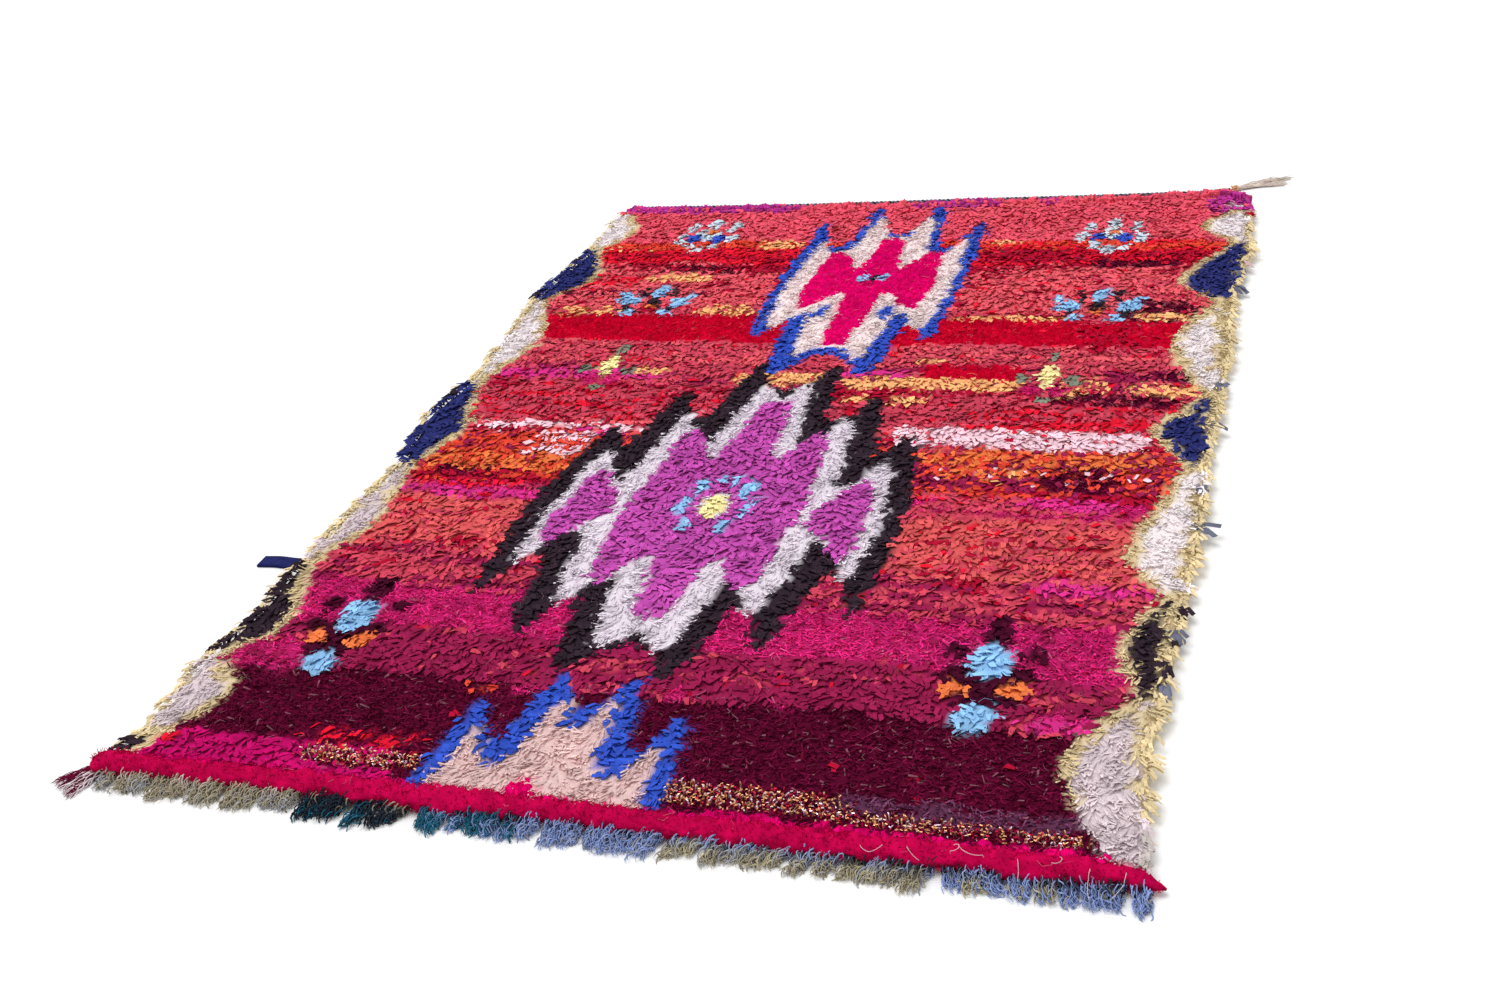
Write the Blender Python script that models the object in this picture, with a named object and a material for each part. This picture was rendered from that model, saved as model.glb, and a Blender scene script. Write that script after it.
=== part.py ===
"""Hand-knotted rag rug, lying flat: shaggy pile on a woven ground, a flat-woven far end bound with a
twisted rope, a looped yarn fringe at the near end, two loose corner tassels and a folded rag tab.

Metres, +Z up, floor at z = 0. The origin is on the underside, in the middle of the pile. +X runs across
the rug and +Y along it, from the fringed near end to the flat-woven far end.
"""

import math
import random
from collections import namedtuple

import bmesh
import bpy
import numpy as np
from mathutils import Vector

GAP = 0.0003  # clearance between pieces that touch

# Plan of the pile: each side's place along the rug's length
NEAR_Y = -1.130
SideRow = namedtuple("SideRow", "y left right")
SIDE_ROWS = (
    SideRow(-1.13, -0.728, 0.752),
    SideRow(-1.04, -0.692, 0.735),
    SideRow(-0.88, -0.708, 0.725),
    SideRow(-0.72, -0.692, 0.734),
    SideRow(-0.62, -0.700, 0.740),
    SideRow(-0.50, -0.700, 0.745),
    SideRow(-0.24, -0.690, 0.748),
    SideRow(-0.05, -0.732, 0.744),
    SideRow(0.12, -0.708, 0.754),
    SideRow(0.32, -0.724, 0.756),
    SideRow(0.54, -0.748, 0.746),
    SideRow(0.78, -0.726, 0.768),
    SideRow(1.06, -0.732, 0.758),
)

# Far end: where the pile stops and where the flat weave beyond it stops
FarRow = namedtuple("FarRow", "x pile_y weave_y")
FAR_ROWS = (
    FarRow(-0.73, 1.056, 1.092),
    FarRow(-0.50, 1.044, 1.096),
    FarRow(-0.26, 1.050, 1.104),
    FarRow(0.06, 1.056, 1.126),
    FarRow(0.41, 1.062, 1.145),
    FarRow(0.64, 1.074, 1.164),
    FarRow(0.70, 1.070, 1.180),
    FarRow(0.75, 1.062, 1.150),
)

# Pile: heights, lumps and the grid that carries them
PILE_HEIGHT = 0.026
RIM_HEIGHT = 0.016
SHOULDER_HEIGHT = 0.023
RIM_INSET = 0.014
LUMP_WAVE = 0.0016
LUMP_TUFT = 0.0018
COLUMNS = 28
ROWS = 76
WEAVE_THICKNESS = 0.003
WEAVE_STEP = 0.004
PILE_SEED = 11
PILE_COLOUR = (0.55, 0.06, 0.10)

# Soft waves over the pile: each has a scale, and bends as it runs along the other axis
Wave = namedtuple("Wave", "scale bend bend_scale")
WAVE_ACROSS = Wave(scale=0.043, bend=1.7, bend_scale=0.19)
WAVE_ALONG = Wave(scale=0.037, bend=-1.3, bend_scale=0.23)

# Locks at the side rims: one from every second wall, clear of the corners
RIM_LOCK_REACH = (0.010, 0.022)
RIM_LOCK_LEAN = 0.008
RIM_LOCK_EVERY = 2
CORNER_WALLS = 2

# Locks narrow and thin towards their tips: each row is a ring, as shares of the one before it
LockStep = namedtuple("LockStep", "along width height")
RIM_LOCK_STEPS = (
    LockStep(0.55, 0.80, 0.72),
    LockStep(1.00, 0.50, 0.50),
)
YARN_LOCK_STEPS = (
    LockStep(0.35, 0.98, 0.95),
    LockStep(0.75, 0.90, 0.80),
    LockStep(1.00, 0.45, 0.45),
)

# Every fringe or tassel: its backing's size, and the locks that grow out of it
Fringe = namedtuple("Fringe", "name width depth height locks reach lean fan seed colour")
LOCK_GAP_SHARE = 0.28  # of each lock's pitch
LEAN_SPREAD = 0.2
REACH_SPREAD = (0.82, 1.12)
FRONT_WALL = 2  # the backing's wall that the locks grow from, in the order of its section

# Near fringe: one run for each yarn, along the near end
FRINGE_DEPTH = 0.010
FRINGE_HEIGHT = 0.012
FIRST_FRINGE_SEED = 20
FringeRun = namedtuple("FringeRun", "name start end locks reach lean colour")
FRINGE_RUNS = (
    FringeRun("fringe_khaki", -0.690, -0.374, 11, 0.046, -0.006, (0.30, 0.27, 0.22)),
    FringeRun("fringe_black", -0.366, -0.204, 6, 0.052, -0.009, (0.02, 0.05, 0.07)),
    FringeRun("fringe_teal", -0.196, -0.049, 6, 0.042, -0.006, (0.03, 0.18, 0.25)),
    FringeRun("fringe_denim", -0.041, 0.153, 7, 0.044, -0.008, (0.18, 0.28, 0.50)),
    FringeRun("fringe_olive", 0.161, 0.494, 12, 0.046, -0.011, (0.38, 0.36, 0.22)),
    FringeRun("fringe_sky", 0.502, 0.744, 9, 0.040, -0.008, (0.20, 0.28, 0.50)),
)

# Twisted rope bound to the edge of the flat weave
ROPE_HALF_WIDTH = 0.0042
ROPE_HALF_DEPTH = 0.0030
ROPE_SIDES = 6
ROPE_STEP = 0.012
ROPE_TURN = math.radians(50)
ROPE_START_X = -0.722
ROPE_END_X = 0.702
ROPE_COLOUR = (0.10, 0.13, 0.17)

# Knot at the rope's end, flattened where it rests
KNOT_RADIUS = 0.010
KNOT_REST = 0.75  # height of its centre, as a share of its radius
KNOT_COLOUR = (0.62, 0.36, 0.20)

# Loose warp ends beyond the knot
TASSEL_HEADING = math.radians(33)  # from +X towards +Y
FAR_TASSEL = Fringe(
    "far_tassel", width=0.012, depth=0.034, height=0.008, locks=5,
    reach=0.064, lean=0.002, fan=0.020, seed=31, colour=(0.45, 0.38, 0.35),
)

# Loose warp ends at the near left corner
WARP_TASSEL_X = -0.712
WARP_TASSEL = Fringe(
    "warp_tassel", width=0.026, depth=0.008, height=0.008, locks=5,
    reach=0.052, lean=-0.034, fan=0.010, seed=37, colour=(0.30, 0.10, 0.16),
)

# Folded rag tab under the left side
TAB_Y = -0.575
TAB_WIDTH = 0.028
TAB_REACH = 0.084
TAB_CLOTH = 0.0024
TAB_FOLD_GAP = 0.0010
TAB_ARC_STEPS = 6
TAB_CLEARANCE = 0.040  # no rim lock grows this near the tab
TAB_COLOUR = (0.04, 0.05, 0.14)


def remove_everything():
    for item in list(bpy.data.objects):
        bpy.data.objects.remove(item, do_unlink=True)


def cloth_material(name, colour, roughness=0.95):
    material = bpy.data.materials.new(name)
    material.use_nodes = True
    shader = material.node_tree.nodes["Principled BSDF"]
    shader.inputs["Base Color"].default_value = (*colour, 1.0)
    shader.inputs["Roughness"].default_value = roughness
    shader.inputs["Metallic"].default_value = 0.0
    return material


def add_object(name, bm, colour, smooth_angle=math.radians(50)):
    """Closes a bmesh into one named object with its own material."""
    bmesh.ops.recalc_face_normals(bm, faces=bm.faces)
    mesh = bpy.data.meshes.new(name)
    bm.to_mesh(mesh)
    bm.free()
    mesh.materials.append(cloth_material(name, colour))
    mesh.shade_smooth()
    mesh.set_sharp_from_angle(angle=smooth_angle)
    item = bpy.data.objects.new(name, mesh)
    bpy.context.scene.collection.objects.link(item)
    return item


def column(rows, name):
    """One named column of a table, as an array."""
    return np.array([getattr(row, name) for row in rows])


def side_x(y, side):
    return float(np.interp(y, column(SIDE_ROWS, "y"), column(SIDE_ROWS, side)))


def far_y(x, edge):
    return float(np.interp(x, column(FAR_ROWS, "x"), column(FAR_ROWS, edge)))


def shares(count, inset):
    """Places from 0 to 1, evenly spaced, with one more just inside each end."""
    inner = np.linspace(0.0, 1.0, count + 1)[1:-1]
    return [0.0, inset, *inner, 1.0 - inset, 1.0]


def column_shares():
    return shares(COLUMNS, RIM_INSET / (side_x(0.0, "right") - side_x(0.0, "left")))


def row_shares():
    return shares(ROWS, RIM_INSET / (far_y(0.0, "pile_y") - NEAR_Y))


def place(share_x, share_y):
    """Where a grid point lies on the floor, from its shares across and along the pile."""
    rough_x = np.interp(share_x, (0, 1), (SIDE_ROWS[-1].left, SIDE_ROWS[-1].right))
    y = NEAR_Y + (far_y(rough_x, "pile_y") - NEAR_Y) * share_y
    return float(np.interp(share_x, (0, 1), (side_x(y, "left"), side_x(y, "right")))), y


def weave_edge():
    """The far edge of the flat weave, as the points of its grid columns."""
    places = [place(share, 1.0)[0] for share in column_shares()]
    return [(x, far_y(x, "weave_y")) for x in places]


def wave(here, along, shape):
    return math.sin(here / shape.scale + shape.bend * math.sin(along / shape.bend_scale))


def pile_height(x, y, ring, rng):
    """Top of the pile. ring is 0 on the rim, 1 on the shoulder just inside it, and 2 further in."""
    waves = (wave(x, y, WAVE_ACROSS) + wave(y, x, WAVE_ALONG)) / 2
    lump = LUMP_WAVE * waves + LUMP_TUFT * rng.uniform(-1, 1)
    return (RIM_HEIGHT, SHOULDER_HEIGHT, PILE_HEIGHT)[ring] + lump


def grow_lock(bm, face, out, reach, lean, steps):
    """Pulls one upright face out into a lock that lies on the floor, leans and narrows to its tip."""
    side = Vector((-out.y, out.x, 0.0))
    root = face.calc_center_median()
    root.z = 0.0
    centre = root.copy()
    for step in steps:
        face = bmesh.ops.extrude_discrete_faces(bm, faces=[face])["faces"][0]
        moved = root + (out * reach + side * lean) * step.along
        for vert in face.verts:
            across = (vert.co - centre).dot(side) * step.width
            vert.co = moved + side * across + Vector((0.0, 0.0, vert.co.z * step.height))
        centre = moved


def build_pile():
    """The rug itself: one lumpy slab of pile, with the flat-woven end beyond it and locks at its sides."""
    rng = random.Random(PILE_SEED)
    bm = bmesh.new()
    across, along = column_shares(), row_shares()
    grid = []
    for j, share_y in enumerate(along):
        row = []
        for i, share_x in enumerate(across):
            x, y = place(share_x, share_y)
            ring = min(i, j, len(across) - 1 - i, len(along) - 1 - j, 2)
            row.append(bm.verts.new((x, y, pile_height(x, y, ring, rng))))
        grid.append(row)
    pile_edge = [vert.co.copy() for vert in grid[-1]]
    grid.append([bm.verts.new((p.x, p.y + WEAVE_STEP, WEAVE_THICKNESS)) for p in pile_edge])
    grid.append([bm.verts.new((x, y, WEAVE_THICKNESS)) for x, y in weave_edge()])

    for lower, upper in zip(grid, grid[1:]):
        for a, b, c, d in zip(lower, lower[1:], upper[1:], upper):
            bm.faces.new((a, b, c, d))

    right_side = [row[-1] for row in grid]
    left_side = [row[0] for row in grid]
    rim = grid[0] + right_side[1:] + grid[-1][-2::-1] + left_side[-2:0:-1]
    feet = [bm.verts.new((vert.co.x, vert.co.y, 0.0)) for vert in rim]
    walls = {}
    for k, vert in enumerate(rim):
        after = (k + 1) % len(rim)
        walls[vert] = bm.faces.new((vert, rim[after], feet[after], feet[k]))
    bm.faces.new(feet)

    # Each wall starts at its own vertex and runs round the rim, so the left side's are one further on
    last = len(along) - CORNER_WALLS
    right_starts = right_side[CORNER_WALLS : last - 1 : RIM_LOCK_EVERY]
    left_starts = left_side[CORNER_WALLS + 1 : last : RIM_LOCK_EVERY]
    for vert in right_starts + left_starts:
        out = Vector((math.copysign(1.0, vert.co.x), 0.0, 0.0))
        if out.x < 0 and abs(vert.co.y - TAB_Y) < TAB_CLEARANCE:
            continue
        lean = rng.uniform(-RIM_LOCK_LEAN, RIM_LOCK_LEAN)
        grow_lock(bm, walls[vert], out, rng.uniform(*RIM_LOCK_REACH), lean, RIM_LOCK_STEPS)
    return add_object("rug_pile", bm, PILE_COLOUR)


def build_fringe(fringe):
    """A narrow backing with yarn locks fused into it, pointing along -Y from the back edge at y = 0."""
    rng = random.Random(fringe.seed)
    bm = bmesh.new()
    pitch = fringe.width / (fringe.locks - LOCK_GAP_SHARE)
    lock_width = pitch * (1.0 - LOCK_GAP_SHARE)
    edges = [k * pitch + part for k in range(fringe.locks) for part in (0.0, lock_width)]
    stations = [edge - fringe.width / 2 for edge in edges]
    depth, height = fringe.depth, fringe.height
    section = ((0.0, 0.0), (0.0, height), (-depth, height), (-depth, 0.0))
    rings = [[bm.verts.new((x, y, z)) for y, z in section] for x in stations]
    fronts = []
    for left, right in zip(rings, rings[1:]):
        for k in range(len(section)):
            after = (k + 1) % len(section)
            wall = bm.faces.new((left[k], left[after], right[after], right[k]))
            if k == FRONT_WALL:
                fronts.append(wall)
    bm.faces.new(rings[0])
    bm.faces.new(rings[-1])
    for k, front in enumerate(fronts[::2]):  # every second front wall is a gap between locks
        spread = fringe.fan * (2.0 * k / (fringe.locks - 1) - 1.0)
        lean = fringe.lean + spread + rng.uniform(-LEAN_SPREAD, LEAN_SPREAD) * abs(fringe.lean)
        reach = fringe.reach * rng.uniform(*REACH_SPREAD)
        grow_lock(bm, front, Vector((0.0, -1.0, 0.0)), reach, lean, YARN_LOCK_STEPS)
    return add_object(fringe.name, bm, fringe.colour)


def build_near_fringe():
    for k, run in enumerate(FRINGE_RUNS):
        strip = build_fringe(Fringe(
            run.name, width=run.end - run.start, depth=FRINGE_DEPTH, height=FRINGE_HEIGHT, locks=run.locks,
            reach=run.reach, lean=run.lean, fan=0.0, seed=FIRST_FRINGE_SEED + k, colour=run.colour,
        ))
        strip.location = ((run.start + run.end) / 2, NEAR_Y - GAP, 0.0)


def rope_centre(x):
    """The rope lies against the edge of the flat weave, just clear of it."""
    edge_x, edge_y = zip(*weave_edge())
    y = float(np.interp(x, edge_x, edge_y)) + ROPE_HALF_WIDTH + 2 * GAP
    return Vector((x, y, ROPE_HALF_WIDTH + GAP))


def build_rope():
    """Two-ply rope: a flattened section that turns as it runs along the edge."""
    bm = bmesh.new()
    count = round((ROPE_END_X - ROPE_START_X) / ROPE_STEP)
    centres = [rope_centre(x) for x in np.linspace(ROPE_START_X, ROPE_END_X, count + 1)]
    rings = []
    for k, centre in enumerate(centres):
        ahead = centres[min(k + 1, count)] - centres[max(k - 1, 0)]
        side = Vector((-ahead.y, ahead.x, 0.0)).normalized()
        up = Vector((0.0, 0.0, 1.0))
        turn = k * ROPE_TURN
        wide = side * math.cos(turn) + up * math.sin(turn)
        deep = up * math.cos(turn) - side * math.sin(turn)
        ring = []
        for s in range(ROPE_SIDES):
            angle = math.tau * s / ROPE_SIDES
            offset = wide * ROPE_HALF_WIDTH * math.cos(angle) + deep * ROPE_HALF_DEPTH * math.sin(angle)
            ring.append(bm.verts.new(centre + offset))
        rings.append(ring)
    for here, there in zip(rings, rings[1:]):
        for s in range(ROPE_SIDES):
            after = (s + 1) % ROPE_SIDES
            bm.faces.new((here[s], here[after], there[after], there[s]))
    bm.faces.new(rings[0])
    bm.faces.new(rings[-1])
    return add_object("edge_rope", bm, ROPE_COLOUR)


def knot_centre():
    """Just past the rope's end, along the rope's own direction."""
    end = rope_centre(ROPE_END_X)
    ahead = (end - rope_centre(ROPE_END_X - ROPE_STEP)).normalized()
    centre = end + ahead * (KNOT_RADIUS + GAP)
    centre.z = KNOT_RADIUS * KNOT_REST
    return centre


def build_knot():
    bm = bmesh.new()
    bmesh.ops.create_icosphere(bm, subdivisions=2, radius=KNOT_RADIUS)
    centre = knot_centre()
    for vert in bm.verts:
        vert.co = vert.co + centre
        vert.co.z = max(vert.co.z, 0.0)
    return add_object("corner_knot", bm, KNOT_COLOUR)


def build_far_tassel():
    """Loose warp ends beyond the knot, fanned out on the floor."""
    tassel = build_fringe(FAR_TASSEL)
    ahead = Vector((math.cos(TASSEL_HEADING), math.sin(TASSEL_HEADING), 0.0))
    root = knot_centre() + ahead * (KNOT_RADIUS + GAP)
    tassel.location = (root.x, root.y, 0.0)
    tassel.rotation_euler = (0.0, 0.0, TASSEL_HEADING + math.pi / 2)


def build_warp_tassel():
    """Burgundy and white warp ends left out on the floor at the near left corner."""
    tassel = build_fringe(WARP_TASSEL)
    tassel.location = (WARP_TASSEL_X, NEAR_Y - GAP, 0.0)


def tab_profile():
    """Hairpin section of the folded strip, in x and z, from its root to the fold and back."""
    outer = TAB_CLOTH + TAB_FOLD_GAP / 2
    inner = TAB_FOLD_GAP / 2
    turn_x = -TAB_REACH + outer
    arc = [math.pi * k / TAB_ARC_STEPS for k in range(TAB_ARC_STEPS + 1)]
    outside = [(turn_x - outer * math.sin(a), outer - outer * math.cos(a)) for a in arc]
    inside = [(turn_x - inner * math.sin(a), outer + inner * math.cos(a)) for a in arc]
    return [(0.0, 0.0), *outside, (0.0, 2 * outer), (0.0, outer + inner), *inside, (0.0, outer - inner)]


def build_tab():
    bm = bmesh.new()
    start = TAB_Y - TAB_WIDTH / 2
    root_x = side_x(TAB_Y, "left") - GAP
    profile = bm.faces.new([bm.verts.new((root_x + x, start, z)) for x, z in tab_profile()])
    pulled = bmesh.ops.extrude_face_region(bm, geom=[profile])["geom"]
    moved = [item for item in pulled if isinstance(item, bmesh.types.BMVert)]
    bmesh.ops.translate(bm, verts=moved, vec=(0.0, TAB_WIDTH, 0.0))
    return add_object("side_tab", bm, TAB_COLOUR)


def main():
    remove_everything()
    build_pile()
    build_near_fringe()
    build_rope()
    build_knot()
    build_far_tassel()
    build_warp_tassel()
    build_tab()


main()
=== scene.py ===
import math

import bpy
import numpy as np
from mathutils import Matrix, Vector


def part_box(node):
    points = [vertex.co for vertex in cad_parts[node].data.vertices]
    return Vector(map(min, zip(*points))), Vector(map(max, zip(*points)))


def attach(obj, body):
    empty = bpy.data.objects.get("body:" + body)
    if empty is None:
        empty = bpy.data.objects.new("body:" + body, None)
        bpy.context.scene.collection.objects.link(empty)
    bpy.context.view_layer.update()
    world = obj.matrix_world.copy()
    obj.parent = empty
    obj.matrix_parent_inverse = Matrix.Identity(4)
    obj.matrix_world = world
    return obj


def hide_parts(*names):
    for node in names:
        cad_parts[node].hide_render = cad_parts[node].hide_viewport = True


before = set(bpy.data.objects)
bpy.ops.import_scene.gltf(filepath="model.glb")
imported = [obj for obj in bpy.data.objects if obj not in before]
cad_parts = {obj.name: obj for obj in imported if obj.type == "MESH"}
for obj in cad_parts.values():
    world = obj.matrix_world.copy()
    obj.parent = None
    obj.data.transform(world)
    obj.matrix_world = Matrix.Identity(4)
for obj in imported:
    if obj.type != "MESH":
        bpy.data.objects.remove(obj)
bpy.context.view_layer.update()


# Metres. The rug's middle is the origin, +Y runs to the far end and the floor is z = 0


# Camera
cameraView = {
    "place": (0.8832, -2.6064, 1.3853),
    "yaw": -20.826,  # degrees from +Y, negative towards -X
    "pitch": -29.209,
    "roll": -7.715,
    "lens": 40.26,
    "sensor": 36.0,
}


def addCamera(view):
    yaw, pitch, roll = (math.radians(view[key]) for key in ("yaw", "pitch", "roll"))
    ahead = Vector((math.sin(yaw) * math.cos(pitch), math.cos(yaw) * math.cos(pitch), math.sin(pitch)))
    level = Vector((math.cos(yaw), -math.sin(yaw), 0.0))
    upright = level.cross(ahead)
    right = math.cos(roll) * level + math.sin(roll) * upright
    up = math.cos(roll) * upright - math.sin(roll) * level
    data = bpy.data.cameras.new("photoCamera")
    data.lens = view["lens"]
    data.sensor_width = view["sensor"]
    camera = bpy.data.objects.new("photoCamera", data)
    bpy.context.scene.collection.objects.link(camera)
    turn = Matrix((right, up, -ahead)).transposed().to_4x4()
    camera.matrix_world = Matrix.Translation(view["place"]) @ turn
    bpy.context.scene.camera = camera


addCamera(cameraView)
print("camera placed")


# Yarn colours as seen, then tuned until each zone of the render looked like the photo's
yarns = {
    "rose": (0.91, 0.33, 0.42),
    "salmon": (0.90, 0.36, 0.41),
    "coral": (0.87, 0.36, 0.37),
    "orangeRed": (0.89, 0.28, 0.21),
    "brightRed": (0.88, 0.10, 0.20),
    "crimson": (0.68, 0.07, 0.20),
    "burgundy": (0.42, 0.06, 0.21),
    "raspberry": (0.59, 0.12, 0.30),
    "dustyRose": (0.80, 0.27, 0.36),
    "magenta": (0.89, 0.17, 0.50),
    "wine": (0.27, 0.05, 0.15),
    "hotPink": (0.86, 0.20, 0.55),
    "purple": (0.72, 0.20, 0.56),
    "fuchsia": (0.76, 0.06, 0.40),
    "violet": (0.76, 0.31, 0.68),
    "mauve": (0.48, 0.26, 0.40),
    "orange": (0.93, 0.48, 0.27),
    "peach": (0.99, 0.73, 0.49),
    "cream": (0.88, 0.80, 0.63),
    "blush": (0.90, 0.77, 0.76),
    "shell": (0.98, 0.91, 0.91),
    "white": (0.87, 0.81, 0.83),
    "snow": (0.92, 0.88, 0.92),
    "milk": (0.97, 0.93, 0.94),
    "palePink": (0.96, 0.80, 0.85),
    "paleBlue": (0.80, 0.86, 0.91),
    "sky": (0.57, 0.77, 0.94),
    "royalBlue": (0.21, 0.33, 0.76),
    "navy": (0.18, 0.20, 0.44),
    "black": (0.20, 0.15, 0.19),
    "yellow": (0.97, 0.92, 0.66),
    "greyGreen": (0.50, 0.54, 0.47),
    "slate": (0.42, 0.43, 0.50),
    "plushRed": (0.79, 0.02, 0.18),
    "plushPink": (0.88, 0.02, 0.43),
    "rollPink": (0.72, 0.02, 0.27),
    "tinselGold": (0.95, 0.68, 0.48),
    "warpCream": (0.88, 0.84, 0.78),
    "khaki": (0.66, 0.62, 0.53),
    "inkAndShadow": (0.14, 0.17, 0.22),
    "teal": (0.14, 0.40, 0.50),
    "denim": (0.57, 0.64, 0.83),
    "ash": (0.66, 0.66, 0.68),
    "olive": (0.73, 0.69, 0.57),
    "greyBeige": (0.77, 0.73, 0.71),
    "beige": (0.80, 0.73, 0.70),
    "knotPeach": (0.86, 0.66, 0.50),
}
yarnNumber = {name: number for number, name in enumerate(yarns)}


def seenToLinear(colour):
    colour = np.asarray(colour, float)
    return np.where(colour <= 0.04045, colour / 12.92, ((colour + 0.055) / 1.055) ** 2.4)


yarnColours = np.array([seenToLinear(colour) for colour in yarns.values()])


def yarnColour(name):
    return yarnColours[yarnNumber[name]]


def isOneOf(yarn, names):
    return np.isin(yarn, [yarnNumber[name] for name in names])


# Soft noise from -1 to 1, the same each run
def softNoise(x, y, scale, seed):
    cells = np.random.default_rng(seed).uniform(-1, 1, (64, 64))
    u, v = np.asarray(x) / scale + 31.3, np.asarray(y) / scale + 17.7
    i, j = np.floor(u).astype(int), np.floor(v).astype(int)
    a, b = u - i, v - j
    a, b = a * a * (3 - 2 * a), b * b * (3 - 2 * b)

    def cell(di, dj):
        return cells[(i + di) % 64, (j + dj) % 64]

    near = cell(0, 0) * (1 - a) + cell(1, 0) * a
    far = cell(0, 1) * (1 - a) + cell(1, 1) * a
    return near * (1 - b) + far * b


# Outline of the rug, the same rows as the part's. tuftY is the scene's own: where the last tufts stand
outline = {
    "nearY": -1.130,
    "sideY": (-1.13, -1.04, -0.88, -0.72, -0.62, -0.50, -0.24, -0.05, 0.12, 0.32, 0.54, 0.78, 1.06),
    "left": (-0.728, -0.692, -0.708, -0.692, -0.700, -0.700, -0.690, -0.732, -0.708, -0.724, -0.748,
             -0.726, -0.732),
    "right": (0.752, 0.735, 0.725, 0.734, 0.740, 0.745, 0.748, 0.744, 0.754, 0.756, 0.746, 0.768, 0.758),
    "farX": (-0.73, -0.50, -0.26, 0.06, 0.41, 0.64, 0.70, 0.75),
    "pileY": (1.056, 1.044, 1.050, 1.056, 1.062, 1.074, 1.070, 1.062),
    "weaveY": (1.092, 1.096, 1.104, 1.126, 1.145, 1.164, 1.180, 1.150),
    "tuftY": (1.066, 1.068, 1.076, 1.096, 1.114, 1.136, 1.150, 1.122),
}


def sideX(y, side):
    return np.interp(y, outline["sideY"], outline[side])


def farY(x, edge):
    return np.interp(x, outline["farX"], outline[edge])


# Striped ground, from the near end: where each band ends, its yarn, a second yarn and its share
bands = (
    (-1.098, "plushPink", "plushPink", 0.00),
    (-1.035, "burgundy", "burgundy", 0.00),
    (-0.865, "burgundy", "crimson", 0.04),
    (-0.750, "raspberry", "dustyRose", 0.24),
    (-0.630, "magenta", "raspberry", 0.10),
    (-0.520, "dustyRose", "raspberry", 0.40),
    (-0.340, "coral", "dustyRose", 0.40),
    (-0.285, "magenta", "dustyRose", 0.45),
    (-0.245, "crimson", "orangeRed", 0.45),
    (-0.100, "orangeRed", "raspberry", 0.42),
    (-0.050, "salmon", "crimson", 0.40),
    (0.055, "dustyRose", "brightRed", 0.35),
    (0.110, "dustyRose", "crimson", 0.35),
    (0.200, "dustyRose", "raspberry", 0.35),
    (0.300, "dustyRose", "salmon", 0.40),
    (0.415, "plushRed", "brightRed", 0.20),
    (0.455, "dustyRose", "crimson", 0.30),
    (0.660, "salmon", "dustyRose", 0.30),
    (0.705, "crimson", "salmon", 0.45),
    (0.785, "brightRed", "crimson", 0.40),
    (0.835, "orangeRed", "brightRed", 0.40),
    (1.200, "rose", "salmon", 0.30),
)

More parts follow.
